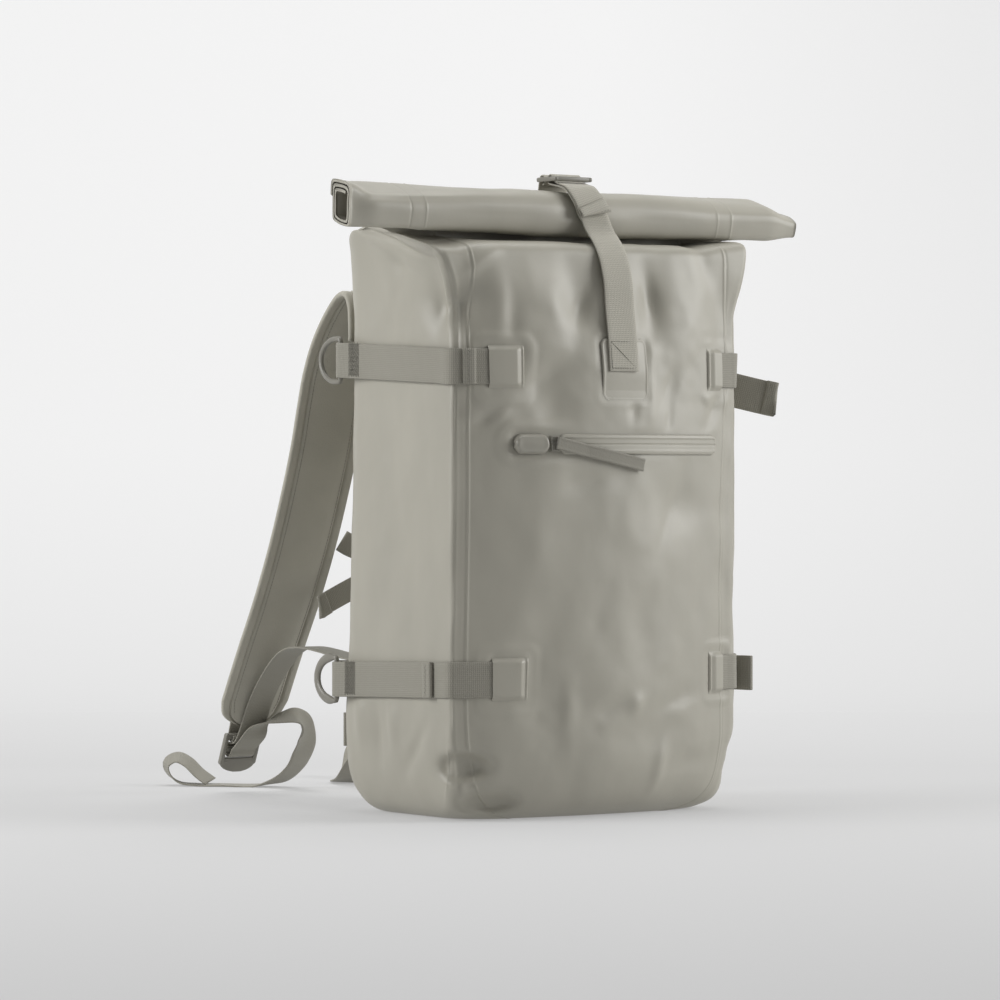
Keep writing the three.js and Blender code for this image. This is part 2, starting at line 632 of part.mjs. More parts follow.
function makeClosure() {
  const across = point(1, 0, 0);
  const anchorOut = SEAT + CLOSURE_PATCH.thickness;
  frontPatch("closure_patch", CLOSURE_PATCH, [SEAT, anchorOut], 5, "cloth");

  const near = anchorOut + GAP + WEB / 2;
  const barLoop = BUCKLE.bar / 2 + GAP + WEB;
  const rollTop = ROLL.centreZ + ROLL.halfHeight;
  const lean = ({ y, z }) => {
    const t = clamp((z - ANCHOR.lean) / (rollTop - ANCHOR.lean), 0, 1);
    return point(mix(ANCHOR.x, BUCKLE.x, t), y, z);
  };
  const roundBar = (y, from, to) =>
    evenPlaces(from * Math.PI, to * Math.PI, 6).map((angle) =>
      point(BUCKLE.x, y + barLoop * Math.cos(angle), BUCKLE.z + barLoop * Math.sin(angle)),
    );
  const strap = [
    ...evenPlaces(ANCHOR.bottom, ANCHOR.top, 2).map((z) => offFront(ANCHOR.x, z, near)),
    ...OVER_ROLL.map(lean),
    point(BUCKLE.x, BUCKLE.y - 5, BUCKLE.z - barLoop - 1.2),
    ...roundBar(BUCKLE.y, -0.5, 1),
    ...FOLDED_BACK.map(lean),
  ];
  const folded = hemFold(strap, point(0, -0.97, 0.24), 9);
  addPiece("closure_strap", ribbon(folded, across, STRAP_WIDTH, WEB), "webbing");

  const shape = slottedFrame(BUCKLE.halfWidth, BUCKLE.bar, BUCKLE.pitch, BUCKLE.rim, 3);
  const centre = point(BUCKLE.x, BUCKLE.y, BUCKLE.z);
  addPiece("closure_buckle", plate(shape, BUCKLE.thickness, centre, across, point(0, 1, 0)), "plastic");

  const overYoke = YOKE.thickness + GAP + WEB / 2;
  const upBack = evenPlaces(rowAt(424), 15.6, 9).map((row) => offBody(4.5, row, overYoke));
  const backStrap = [...upBack, ...BEHIND_ROLL].map(({ y, z }) => point(BUCKLE.x, y, z));
  backStrap.push(...roundBar(BUCKLE.y + BUCKLE.pitch, 0, 1.45));
  addPiece("closure_back_strap", ribbon(backStrap, across, STRAP_WIDTH, WEB), "webbing");
}

// Shoulder straps: the pad's centreline, from the back panel over the top and down to the lock
const PAD_LINE = [
  { y: 97.9, z: 404 }, { y: 98.3, z: 422 }, { y: 100.2, z: 436 }, { y: 107, z: 445 }, { y: 117, z: 444 },
  { y: 131, z: 434 }, { y: 146, z: 419 }, { y: 159, z: 402 }, { y: 172, z: 377 }, { y: 182, z: 347 },
  { y: 193, z: 311 }, { y: 224, z: 236 }, { y: 253, z: 180 }, { y: 283.5, z: 130 }, { y: 308, z: 88 },
  { y: 318, z: 70 }, { y: 322.5, z: 62 },
];
const PAD = { x: 100, width: 70, endWidth: 44, taper: 26, thickness: 9 };
const YOKE = { bottom: 396, top: 440, thickness: 2.4 };
const LOCK = { y: 336, z: 40, lean: 0.4, halfWidth: 19, bar: 4.6, pitch: 13, rim: 4, thickness: 5 };
const TAB = { z: 69, width: 29, thickness: 2.4 };

// Webbing from the back panel over to the lock; behind is the sewn end's distance behind the back panel
const ADJUSTER_START = [
  { x: 80, behind: 0, z: 88 }, { x: 81, behind: 0.3, z: 104 }, { x: 86, behind: 12, z: 119 },
];
const ADJUSTER_LINE = [
  { x: 98, y: 162, z: 130 }, { x: 106, y: 207, z: 136 }, { x: 105, y: 237, z: 132 },
  { x: 103, y: 264, z: 117 }, { x: 101, y: 297, z: 86 },
];
// Webbing at the lock: distance down the lock from its middle, and out from its face
const LOOP_START = [{ down: -52, out: -7.2 }, { down: -36, out: -7 }, { down: -24, out: -5.6 }];
const WEB_AT_LOCK = [{ down: -21, out: 10.8 }, { down: -11, out: 7.6 }];
const WEB_IN_LOCK = [
  { down: -6.6, out: 2 }, { down: -5.4, out: -2 }, { down: -2.6, out: -4.2 }, { down: 0.5, out: -4.4 },
];
const TAIL_IN_LOCK = [
  { down: 3.4, out: -3.6 }, { down: 6.2, out: -1.8 }, { down: 6.5, out: 2.2 }, { down: 4, out: 5 },
];
const TAIL_AT_LOCK = [{ down: -2, out: 6.2 }, { down: -9, out: 10.6 }];
// Free end of an adjuster: up from the lock, round in a loop, along the floor, and back on itself at the end
const TAIL_LINE = [
  { x: 100, y: 313, z: 51 }, { x: 98, y: 305, z: 61 }, { x: 92, y: 298, z: 70 },
  { x: 82, y: 291, z: 76 }, { x: 67, y: 290, z: 77.5 }, { x: 51, y: 300, z: 73 },
  { x: 37, y: 316, z: 60 }, { x: 28, y: 330, z: 42 }, { x: 27, y: 348, z: 22 },
  { x: 33, y: 368, z: 7.5 }, { x: 47, y: 391, z: 1.2 }, { x: 70, y: 413, z: 1.2 },
  { x: 88, y: 433, z: 1.2 }, { x: 100, y: 446, z: 3.7 }, { x: 107, y: 452, z: 11.5 },
  { x: 108, y: 454, z: 20.6 }, { x: 101, y: 447, z: 26.1 }, { x: 94, y: 440, z: 22.3 },
  { x: 86, y: 431, z: 11.6 }, { x: 79, y: 423.5, z: 4.4 },
];
// Steps along the free end over which it turns on edge, and the way its width points after that
const TAIL_TURN = { start: 8, length: 4, x: 0.74, y: 0.67 };
// Tab at the lower back corner, from flat on the back panel out to its free end
const TAB_LINE = [
  { x: 84, behind: 0 }, { x: 100, behind: 0 }, { x: 113, behind: 0.6 }, { x: 124, behind: 5.5 },
  { x: 133, behind: 13 },
];

function makeHarness(sign, name) {
  const across = point(1, 0, 0);
  const sided = ({ x = PAD.x, y, z }) => point(sign * x, y, z);
  makePad(PAD_LINE.map(sided), name);

  // Ladder lock hanging below the pad
  const down = point(0, LOCK.lean, -Math.sqrt(1 - LOCK.lean ** 2));
  const face = point(0, down.z, -down.y);
  const centre = sided(LOCK);
  const shape = slottedFrame(LOCK.halfWidth, LOCK.bar, LOCK.pitch, LOCK.rim, 4);
  const up = down.clone().negate();
  addPiece("ladder_lock_" + name, plate(shape, LOCK.thickness, centre, across, up), "plastic");
  const onLock = (place) => centre.clone().addScaledVector(down, place.down).addScaledVector(face, place.out);

  // Webbing loop from the back of the pad round the lock's top bar
  const barLoop = LOCK.thickness / 2 + 1 + GAP + WEB / 2;
  const roundBar = evenPlaces(0, 1.15 * Math.PI, 6).map((angle) =>
    onLock({ down: -LOCK.pitch + barLoop * Math.sin(angle), out: -barLoop * Math.cos(angle) }),
  );
  const loop = [...LOOP_START.map(onLock), ...roundBar];
  addPiece("lock_loop_" + name, ribbon(loop, across, ADJUSTER_WIDTH, WEB), "webbing");

  // Webbing from the back panel up and over to the lock, and its free end out through the lower slot
  const backY = sectionAt(rowAt(100)).back + 2 * GAP + WEB / 2;
  const sewn = ADJUSTER_START.map(({ x, behind, z }) => sided({ x, y: backY + behind, z }));
  const line = smoothPath([...sewn, ...ADJUSTER_LINE.map(sided), ...WEB_AT_LOCK.map(onLock)], 22);
  const web = [...line, ...WEB_IN_LOCK.map(onLock)];
  addPiece("adjuster_web_" + name, ribbon(web, across, ADJUSTER_WIDTH, WEB), "webbing");
  const free = smoothPath([...TAIL_AT_LOCK.map(onLock), ...TAIL_LINE.map(sided)], 44);
  const tail = [...TAIL_IN_LOCK.map(onLock), ...free];
  const turned = tail.map((_, i) => {
    const t = clamp((i - TAIL_TURN.start) / TAIL_TURN.length, 0, 1);
    return point(-sign * mix(1, TAIL_TURN.x, t), TAIL_TURN.y * t, 0).normalize();
  });
  addPiece("adjuster_tail_" + name, ribbon(tail, turned, ADJUSTER_WIDTH, WEB), "webbing");

  // Short tab at the lower back corner
  const tabY = sectionAt(rowAt(TAB.z)).back + 2 * GAP + TAB.thickness / 2;
  const tab = TAB_LINE.map(({ x, behind }) => sided({ x, y: tabY + behind, z: TAB.z }));
  addPiece("base_tab_" + name, ribbon(tab, UP, TAB.width, TAB.thickness), "webbing");
}

// Padded strap, narrowed to a rounded lower end
function makePad(line, name) {
  const path = smoothPath(line, 24);
  const spacing = path[0].distanceTo(path[1]);
  const stations = path.map((at, i) => {
    const fromEnd = (path.length - 1 - i) * spacing;
    const width = mix(PAD.endWidth, PAD.width, Math.sqrt(clamp(fromEnd / PAD.taper, 0, 1)));
    return { at, width, thickness: PAD.thickness };
  });
  addPiece("shoulder_pad_" + name, paddedBand(stations, point(1, 0, 0)), "padding");
}

// Yoke on the back panel that carries both shoulder pads
function makeYoke() {
  const places = evenPlaces(4.08, 4.92, 6);
  const rows = evenPlaces(rowAt(YOKE.bottom), rowAt(YOKE.top), 3);
  const grid = (distance) => rows.map((row) => places.map((place) => offBody(place, row, distance)));
  addPiece("strap_yoke", sheetBetween(grid(YOKE.thickness), grid(SEAT)), "padding");
}

// Sternum strap between the pads, with its buckle and hemmed tail
const STERNUM = { y: 220, z: 215, halfWidth: 15, halfHeight: 13, thickness: 7 };
const STERNUM_WEB = [
  { x: 60, y: 227.2, z: 230 }, { x: 52, y: 224, z: 225 }, { x: 34, y: 222, z: 219 },
  { x: 18, y: 220, z: 215 },
];
const STERNUM_TAIL = [
  { x: -13, y: 215, z: 206 }, { x: -34, y: 213, z: 197 }, { x: -62, y: 214, z: 185 },
  { x: -93, y: 212, z: 171 },
];

function makeSternum() {
  for (const [sign, name] of [[-1, "left"], [1, "right"]]) {
    const path = STERNUM_WEB.map(({ x, y, z }) => point(sign * x, y, z));
    addPiece("sternum_web_" + name, ribbon(path, UP, STERNUM_WIDTH, WEB), "webbing");
  }
  const { halfWidth: w, halfHeight: h } = STERNUM;
  const shape = roundedRectangle(new THREE.Shape(), -w, -h, w, h, 4);
  const centre = point(0, STERNUM.y, STERNUM.z);
  addPiece("sternum_buckle", plate(shape, STERNUM.thickness, centre, point(1, 0, 0), UP), "plastic");
  const tail = hemFold(STERNUM_TAIL.map(({ x, y, z }) => point(x, y, z)), point(0, -1, 0), 10);
  addPiece("sternum_tail", ribbon(tail, UP, STERNUM_WIDTH, WEB), "webbing");
}

makeBody();
makeRoll();
makeZip();
makeClosure();
SIDE_STRAPS.forEach(makeSideStrap);
makeYoke();
makeHarness(-1, "left");
makeHarness(1, "right");
makeSternum();

export default group;
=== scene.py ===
"""Roll-top waterproof backpack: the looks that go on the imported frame.

Lengths are in millimetres until a mesh is made; those of the camera, the lights and the stage are in metres.
"""
import math

import bpy
import numpy as np
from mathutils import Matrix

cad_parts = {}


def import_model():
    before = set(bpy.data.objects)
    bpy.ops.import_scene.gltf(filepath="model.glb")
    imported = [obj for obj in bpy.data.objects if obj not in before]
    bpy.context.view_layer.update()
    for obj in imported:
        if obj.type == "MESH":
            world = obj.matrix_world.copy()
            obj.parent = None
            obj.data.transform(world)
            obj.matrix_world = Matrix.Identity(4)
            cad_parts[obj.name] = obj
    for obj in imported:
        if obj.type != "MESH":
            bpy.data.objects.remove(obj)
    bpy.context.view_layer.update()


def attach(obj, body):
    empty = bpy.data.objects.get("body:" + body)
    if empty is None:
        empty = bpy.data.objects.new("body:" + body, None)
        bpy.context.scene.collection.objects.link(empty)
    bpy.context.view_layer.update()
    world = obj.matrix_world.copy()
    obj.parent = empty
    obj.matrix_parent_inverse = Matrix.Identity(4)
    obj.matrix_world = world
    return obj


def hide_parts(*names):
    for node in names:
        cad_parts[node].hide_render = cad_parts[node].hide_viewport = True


METRE = 0.001

# Ways to the bag's right, to its back and up
RIGHT = np.array([1.0, 0, 0])
BEHIND = np.array([0, 1.0, 0])
UP = np.array([0, 0, 1.0])

# Webbing: its thickness, the gap between pieces, how high a patch starts over the cloth, and widths
WEB = 1.4
GAP = 0.4
SEAT = 0.42
STRAP_WIDTH = 30
ADJUSTER_WIDTH = 26
STERNUM_WIDTH = 20

# Roll and neck
NECK_Y = -21
NECK_HALF_THICKNESS = 2.3
ROLL = {
    "half_length": 233, "y": -44, "z": 510.5, "half_depth": 20, "half_height": 22.5,
    "layer": 3, "pitch": 3.6, "turns": 2.3, "squareness": 2.5,
}
EAR = {"front_share": 0.25, "back_share": 0.7, "blunt": 0.02, "reach": 200}

# Places on the body
SEAM_INSET = 8
UPPER_STRAP_Z = 379
LOWER_STRAP_Z = 119
PATCH = {"left": (-118, -86), "right": (108, 125), "half_height": 18, "run_out": 8, "thickness": 0.9}
ZIP = {
    "z": 314.5, "half_height": 8.5, "garage_start": -98, "garage_end": -67,
    "slider_end": -58, "slider_half": 6.5, "slider_height": 5, "end": 118,
}
PULL = {"start_z": 315, "end_x": 26, "end_z": 297, "settled": 3.4, "width": 11, "thickness": 1.6}
ANCHOR = {"x": 9, "bottom": 376, "top": 404, "lean": 505}
BUCKLE = {
    "x": -2, "y": -36, "z": 541, "half_width": 19.5, "bar": 4.4, "pitch": 12, "rim": 4, "thickness": 4,
}

# Body sections up to the neck; rf, rr and rb are radii: front left corner, front right one, back ones
SECTION_COLUMNS = ("z", "half_width", "front", "back", "bulge", "rf", "rr", "rb", "pinch", "ear")
SECTIONS = np.array([
    (0, 118, -62, 84, 6, 38, 38, 38, 0, 0),
    (2.5, 129, -70, 88, 10, 32, 33, 36, 0, 0),
    (12, 140, -79, 92, 17, 22, 26, 33, 0, 0),
    (32, 148, -84, 94, 22, 12, 20, 28, 0, 0),
    (65, 151.5, -86, 94, 25, 7, 19, 26, 0, 0),
    (110, 152, -86, 94, 26, 5, 19, 28, 0, 0),
    (170, 151, -86, 93, 26, 5, 19, 32, 0, 0),
    (240, 150, -86, 93, 26, 5, 17, 32, 0, 0),
    (310, 149, -85, 92, 25, 5, 13, 32, 0, 0),
    (370, 148, -84, 91, 22, 6, 8, 32, 0, 0),
    (420, 150, -84, 90, 17, 7, 6, 33, 0, 0),
    (450, 155, -84, 88, 12, 8, 6, 34, 0, 0),
    (468, 160, -83, 86, 8, 8, 6, 35, 0.01, 0.01),
    (480, 163.5, -82, 84, 6, 9, 8, 32, 0.04, 0.02),
    (485, 164, -80, 82, 4, 10, 10, 28, 0.15, 0.05),
    (487, 165, -77, 80, 3, 12, 12, 26, 0.5, 0.12),
    (488, 165, -75, 78, 2, 14, 14, 26, 1, 0.26),
    (503, 165, -75, 78, 2, 16, 16, 26, 1, 1),
], float)
LAST_ROW = len(SECTIONS) - 1

# Broad dents of the body, as in the frame: panel, along, z, reach, height, depth
DENTS = [
    ("front", -28, 432, 18, 30, 7),
    ("front", 44, 428, 16, 34, 7),
    ("front", -128, 440, 14, 38, 4),
    ("front", 126, 436, 15, 34, 4),
    ("front", -62, 352, 26, 26, 5),
    ("front", 66, 262, 30, 24, 4),
    ("front", -60, 98, 34, 30, 4),
    ("front", 40, 72, 30, 20, 3),
    ("left", -62, 438, 16, 36, 3),
    ("left", -70, 42, 16, 14, 4),
    ("right", -62, 438, 16, 36, 3),
    ("right", -66, 44, 16, 14, 4),
]

# Camera at the photograph's place; the level ways that it looks and that its right side points
VIEW_WAY = (0.5736, 0.8192)
VIEW_SIDE = (VIEW_WAY[1], -VIEW_WAY[0], 0)
CAMERA = {"place": (-2.2737, -3.2471, 0.293), "heading": -35, "lens": 165.6, "sensor": 36, "far": 60}
CAMERA_SHIFT = (-0.042, -0.030)

# Area lights: name, place, aim, size, watts
LIGHTS = [
    ("left_light", (-2.4, 0.9, 1.2), (0, 0, 0.28), (1.6, 1.5), 50),
    ("right_light", (2.1, -1.5, 1.2), (0, 0, 0.28), (1.6, 1.5), 56),
    ("top_light", (0.2, 0.3, 2.6), (0, 0, 0.3), (2.0, 2.0), 39),
]
WORLD_LIGHT = 0.05


def add_object(name, data):
    made = bpy.data.objects.new(name, data)
    bpy.context.scene.collection.objects.link(made)
    return made


def make_camera():
    data = bpy.data.cameras.new("camera")
    data.lens = CAMERA["lens"]
    data.sensor_width = CAMERA["sensor"]
    data.shift_x, data.shift_y = CAMERA_SHIFT
    data.clip_end = CAMERA["far"]
    camera = add_object("camera", data)
    camera.location = CAMERA["place"]
    camera.rotation_euler = (math.pi / 2, 0, math.radians(CAMERA["heading"]))
    bpy.context.scene.camera = camera
    bpy.context.scene.view_settings.view_transform = "Standard"


def area_light(name, place, aim, size, power):
    data = bpy.data.lights.new(name, "AREA")
    data.shape = "RECTANGLE"
    data.size, data.size_y = size
    data.energy = power
    light = add_object(name, data)
    light.location = place
    light.visible_camera = False
    x, y, z = np.array(aim, float) - np.array(place, float)
    light.rotation_euler = (math.atan2(math.hypot(x, y), -z), 0, math.atan2(y, x) - math.pi / 2)


def make_lights():
    for row in LIGHTS:
        area_light(*row)
    world = bpy.data.worlds.new("world")
    world.use_nodes = True
    background = world.node_tree.nodes["Background"]
    background.inputs["Color"].default_value = (1, 1, 1, 1)
    background.inputs["Strength"].default_value = WORLD_LIGHT
    bpy.context.scene.world = world


# Node helper for the materials
class Shader:
    def __init__(self, name):
        self.material = bpy.data.materials.new(name)
        self.material.use_nodes = True
        self.nodes = self.material.node_tree.nodes
        self.links = self.material.node_tree.links
        self.surface = self.nodes["Principled BSDF"]

    def node(self, kind, inputs=None, **settings):
        made = self.nodes.new(kind)
        for key, value in settings.items():
            setattr(made, key, value)
        for key, value in (inputs or {}).items():
            if isinstance(value, bpy.types.NodeSocket):
                self.links.new(value, made.inputs[key])
            else:
                made.inputs[key].default_value = value
        return made

    def math(self, operation, a, b=0.0):
        return self.node("ShaderNodeMath", {0: a, 1: b}, operation=operation).outputs[0]

    def add(self, a, b, share):
        """The first value with a share of the second."""
        return self.math("ADD", a, self.math("MULTIPLY", b, share))

    def wave(self, value, period):
        return self.math("SINE", self.math("MULTIPLY", value, 2 * math.pi / period))

    def place(self):
        """Place on the piece, in metres."""
        return self.node("ShaderNodeTexCoord").outputs["Object"]

    def vector(self, operation, a, b=(0, 0, 0), out="Value"):
        return self.node("ShaderNodeVectorMath", {0: a, 1: b}, operation=operation).outputs[out]

    def noise(self, scale, detail=2.0, rough=0.5, stretch=(1, 1, 1)):
        place = self.vector("MULTIPLY", self.place(), stretch, "Vector")
        inputs = {"Vector": place, "Scale": scale, "Detail": detail, "Roughness": rough}
        return self.node("ShaderNodeTexNoise", inputs).outputs["Fac"]

    def ramp(self, value, low, high, from_low=0.0, from_high=1.0):
        inputs = {"Value": value, "From Min": from_low, "From Max": from_high, "To Min": low, "To Max": high}
        return self.node("ShaderNodeMapRange", inputs).outputs["Result"]

    def tint(self, value, dark, light):
        made = self.node("ShaderNodeMix", {0: value}, data_type="RGBA")
        made.inputs[6].default_value = (*dark, 1)
        made.inputs[7].default_value = (*light, 1)
        return made.outputs[2]

    def bump(self, height, strength, distance, normal=None):
        inputs = {"Height": height, "Strength": strength, "Distance": distance}
        if normal is not None:
            inputs["Normal"] = normal
        return self.node("ShaderNodeBump", inputs).outputs["Normal"]

    def set(self, **values):
        for key, value in values.items():
            socket = self.surface.inputs[key.replace("_", " ")]
            if isinstance(value, bpy.types.NodeSocket):
                self.links.new(value, socket)
            elif isinstance(value, tuple):
                socket.default_value = (*value, 1)
            else:
                socket.default_value = value
        return self.material


def shade(colour, factor):
    return tuple(channel * factor for channel in colour)


CLOTH_COLOUR = (0.380, 0.364, 0.309)
WEB_COLOUR = (0.290, 0.278, 0.236)
# Closure strap: the side straps' webbing painted lighter, painted light and sheen for the light that falls
# on it over the front
CLOSURE_PAINTED_LIGHT_COLOUR = (0.42, 0.403, 0.345)
# Shoulder pads and yoke: padding painted lighter than the zip pull's, painted fill light for the shade on
# their faces
PAD_COLOUR_PAINTED_FILL = (0.42, 0.404, 0.345)
PULL_COLOUR = (0.265, 0.254, 0.216)
CAP_COLOUR = (0.33, 0.317, 0.273)
PLASTIC_COLOUR = (0.215, 0.206, 0.176)


def cloth_material():
    shader = Shader("coated_cloth")
    streaks = shader.ramp(shader.noise(22, 4, stretch=(1, 1, 0.35)), 0, 1, 0.3, 0.7)
    colour = shader.tint(streaks, shade(CLOTH_COLOUR, 0.955), shade(CLOTH_COLOUR, 1.045))
    roughness = shader.ramp(shader.noise(45, 2), 0.38, 0.50)
    grain = shader.bump(shader.noise(1500, 2), 0.10, 0.0003)
    creases = shader.bump(shader.noise(70, 3, 0.6), 0.10, 0.0012, grain)
    return shader.set(Base_Color=colour, Roughness=roughness, Normal=creases, Specular_IOR_Level=0.46)


# Repeats of the webbing's weave: ribs along it, lanes across it and the ribs' ripple
WEAVE = {"rib": 1.7, "lane": 1.6, "ripple": 3.2}


def webbing_material(name="webbing", colour=WEB_COLOUR):
    """Woven band, whose uv is in millimetres along and across it."""
    shader = Shader(name)
    place = shader.node("ShaderNodeSeparateXYZ", {0: shader.node("ShaderNodeUVMap").outputs[0]})
    along, across = place.outputs[0], place.outputs[1]
    straight = shader.math("MULTIPLY", along, 2 * math.pi / WEAVE["rib"])
    ribs = shader.math("SINE", shader.add(straight, shader.wave(across, WEAVE["ripple"]), 0.9))
    weave = shader.add(ribs, shader.wave(across, WEAVE["lane"]), 0.6)
    height = shader.add(weave, shader.noise(900), 1.2)
    blend = shader.ramp(height, 0, 1, -1.6, 2.8)
    tint = shader.tint(blend, shade(colour, 0.78), shade(colour, 1.18))
    normal = shader.bump(height, 0.28, 0.00028)
    return shader.set(
        Base_Color=tint, Roughness=0.72, Normal=normal, Specular_IOR_Level=0.3,
        Sheen_Weight=0.15, Sheen_Roughness=0.4,
    )


# The default colour carries painted fill light: pads and yoke are painted lighter to make up for the shade
# on them
def padding_material(name="pad_cloth_painted_fill", base=PAD_COLOUR_PAINTED_FILL):
    shader = Shader(name)
    inputs = {"Vector": shader.place(), "Scale": 620.0}
    cells = shader.node("ShaderNodeTexVoronoi", inputs).outputs["Distance"]
    height = shader.add(cells, shader.noise(1600), 0.5)
    colour = shader.tint(shader.noise(30, 3), shade(base, 0.9), shade(base, 1.1))
    normal = shader.bump(height, 0.35, 0.0004)
    return shader.set(
        Base_Color=colour, Roughness=0.82, Normal=normal, Specular_IOR_Level=0.25, Sheen_Weight=0.2,
    )


def plastic_material(name="moulded_plastic", colour=PLASTIC_COLOUR, roughness=0.36):
    shader = Shader(name)
    speck = shader.noise(700, 2)
    tint = shader.tint(shader.noise(60, 2), shade(colour, 0.93), shade(colour, 1.07))
    rough = shader.ramp(speck, roughness - 0.05, roughness + 0.07)
    normal = shader.bump(speck, 0.08, 0.0002)
    return shader.set(Base_Color=tint, Roughness=rough, Normal=normal, Specular_IOR_Level=0.5)


def thread_material():
    shader = Shader("thread")
    colour = shader.tint(shader.noise(1200, 1), shade(WEB_COLOUR, 0.6), shade(WEB_COLOUR, 0.95))
    return shader.set(Base_Color=colour, Roughness=0.8, Sheen_Weight=0.2)


def stage_material():
    """Pale backdrop that glows more away from the camera, and less to its right and far off."""
    shader = Shader("backdrop")
    place = shader.place()
    away = shader.vector("DOT_PRODUCT", place, (*VIEW_WAY, 0))
    beside = shader.vector("DOT_PRODUCT", place, VIEW_SIDE)
    apart = shader.vector("LENGTH", place)
    low_glow = shader.ramp(away, 0.31, 0.64, 0.6, 2.75)
    high_glow = shader.ramp(away, 0.0, 0.06, 2.75, 3.45)
    glow = shader.math("ADD", low_glow, high_glow)
    glow = shader.math("MULTIPLY", glow, shader.ramp(beside, 1.0, 0.9, 0.1, 0.7))
    glow = shader.math("MULTIPLY", glow, shader.ramp(apart, 1.0, 0.4, 4.4, 6.6))
    return shader.set(
        Base_Color=(0.34, 0.34, 0.34), Roughness=0.9, Specular_IOR_Level=0.0,
        Emission_Color=(1, 1, 1), Emission_Strength=glow,
    )


# Mesh helpers
def add_mesh(name, points, faces, material, nodes=(), uv=None):
    """Mesh object in metres that rides on the frame, with uv in millimetres for each vertex."""
    mesh = bpy.data.meshes.new(name)
    mesh.from_pydata((np.asarray(points, float) * METRE).tolist(), [], [list(map(int, f)) for f in faces])
    mesh.polygons.foreach_set("use_smooth", [True] * len(mesh.polygons))
    if uv is not None:
        layer = mesh.uv_layers.new(name="UVMap")
        corner = np.zeros(len(mesh.loops), np.int32)
        mesh.loops.foreach_get("vertex_index", corner)
        layer.data.foreach_set("uv", np.asarray(uv, np.float32)[corner].ravel())
    mesh.materials.append(material)
    mesh.update()
    made = add_object(name, mesh)
    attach(made, "root")
    if nodes:
        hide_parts(*nodes)
    return made


def grid_faces(rows, columns, wrap=False, start=0):
    faces = []
    last = columns if wrap else columns - 1
    for r in range(rows - 1):
        for c in range(last):
            a = start + r * columns + c
            b = start + r * columns + (c + 1) % columns
            faces.append((a, b, b + columns, a + columns))
    return faces


def tube_faces(rows, columns, flip=False):
    """Faces of a tube of rings with both ends closed."""
    first = list(range(columns))
    last = [(rows - 1) * columns + k for k in range(columns)]
    ends = [first, last[::-1]] if flip else [first[::-1], last]
    return grid_faces(rows, columns, wrap=True) + ends


def unit(vectors):
    vectors = np.asarray(vectors, float)
    length = np.linalg.norm(vectors, axis=-1, keepdims=True)
    return vectors / np.maximum(length, 1e-9)


def tangents(path):
    return unit(np.gradient(np.asarray(path, float), axis=0))


def distance_along(path):
    return np.concatenate([[0], np.cumsum(np.linalg.norm(np.diff(path, axis=0), axis=1))])


def ease(t):
    return t * t * (3 - 2 * t)


def smooth_step(value, low, high):
    return ease(np.clip((value - low) / (high - low), 0, 1))


def hump(value, centre, width, power=2):
    """Bell curve up to 1, with a flatter top for a higher power."""
    return np.exp(-(((value - centre) / width) ** power))


def round_off(share):
    """Quarter circle from 0 to 1, for an edge that comes down roundly."""
    return np.sqrt(np.clip(1 - (1 - np.clip(share, 0, 1)) ** 2, 0, 1))


def turn_ways(degrees):
    """Cosine and sine of an angle in degrees."""
    return math.cos(math.radians(degrees)), math.sin(math.radians(degrees))


def resample(path, spacing, extra=None):
    """Smooth path through the points at an even spacing, with other values carried along."""
    path = np.asarray(path, float)
    data = path if extra is None else np.hstack([path, np.asarray(extra, float)])
    steps = np.sqrt(np.linalg.norm(np.diff(path, axis=0), axis=1))
    knots = np.concatenate([[0], np.cumsum(np.maximum(steps, 1e-6))])
    fine = np.linspace(0, knots[-1], max(60, len(path) * 24))
    slope = np.gradient(data, knots, axis=0)
    i = np.clip(np.searchsorted(knots, fine, side="right") - 1, 0, len(knots) - 2)
    h = (knots[i + 1] - knots[i])[:, None]
    t = ((fine - knots[i])[:, None]) / h
    smooth = (
        data[i] * (2 * t**3 - 3 * t**2 + 1) + slope[i] * h * (t**3 - 2 * t**2 + t)
        + data[i + 1] * (3 * t**2 - 2 * t**3) + slope[i + 1] * h * (t**3 - t**2)
    )
    run = distance_along(smooth[:, :3])
    count = max(3, int(round(run[-1] / spacing)) + 1)
    even = np.linspace(0, run[-1], count)
    out = np.stack([np.interp(even, run, smooth[:, k]) for k in range(smooth.shape[1])], axis=1)
    return out[:, :3], out[:, 3:]


def path_length(path):
    return float(np.linalg.norm(np.diff(np.asarray(path, float), axis=0), axis=1).sum())


def band_outline(width, thickness, face_points=7):
    """Closed outline of a band, as across and out, with rounded edges."""
    half = thickness / 2
    flat = width / 2 - half
    angles = np.linspace(-math.pi / 2, math.pi / 2, 5)
    right = np.stack([flat + half * np.cos(angles), half * np.sin(angles)], axis=1)
    across = np.linspace(flat, -flat, face_points + 2)[1:-1]
    top = np.stack([across, np.full(face_points, half)], axis=1)
    across = np.linspace(-flat, flat, face_points + 2)[1:-1]
    bottom = np.stack([across, np.full(face_points, -half)], axis=1)
    return np.concatenate([right, top, -right, bottom])


def sweep(path, across, outlines):
    """Points, faces and uv of a band swept along a path, with an outline for each of its stations."""
    path = np.asarray(path, float)
    along = tangents(path)
    wide = np.broadcast_to(np.asarray(across, float), path.shape)
    side = unit(wide - along * np.sum(wide * along, axis=1, keepdims=True))
    face = np.cross(along, side)
    run = distance_along(path)
    points, uv = [], []
    for i, outline in enumerate(outlines):
        points.append(path[i] + outline[:, :1] * side[i] + outline[:, 1:] * face[i])
        uv.append(np.stack([np.full(len(outline), run[i]), outline[:, 0]], axis=1))
    return np.concatenate(points), tube_faces(len(path), len(outlines[0])), np.concatenate(uv)


# Distance between a ribbon's sections
RIBBON_STEP = 1.6


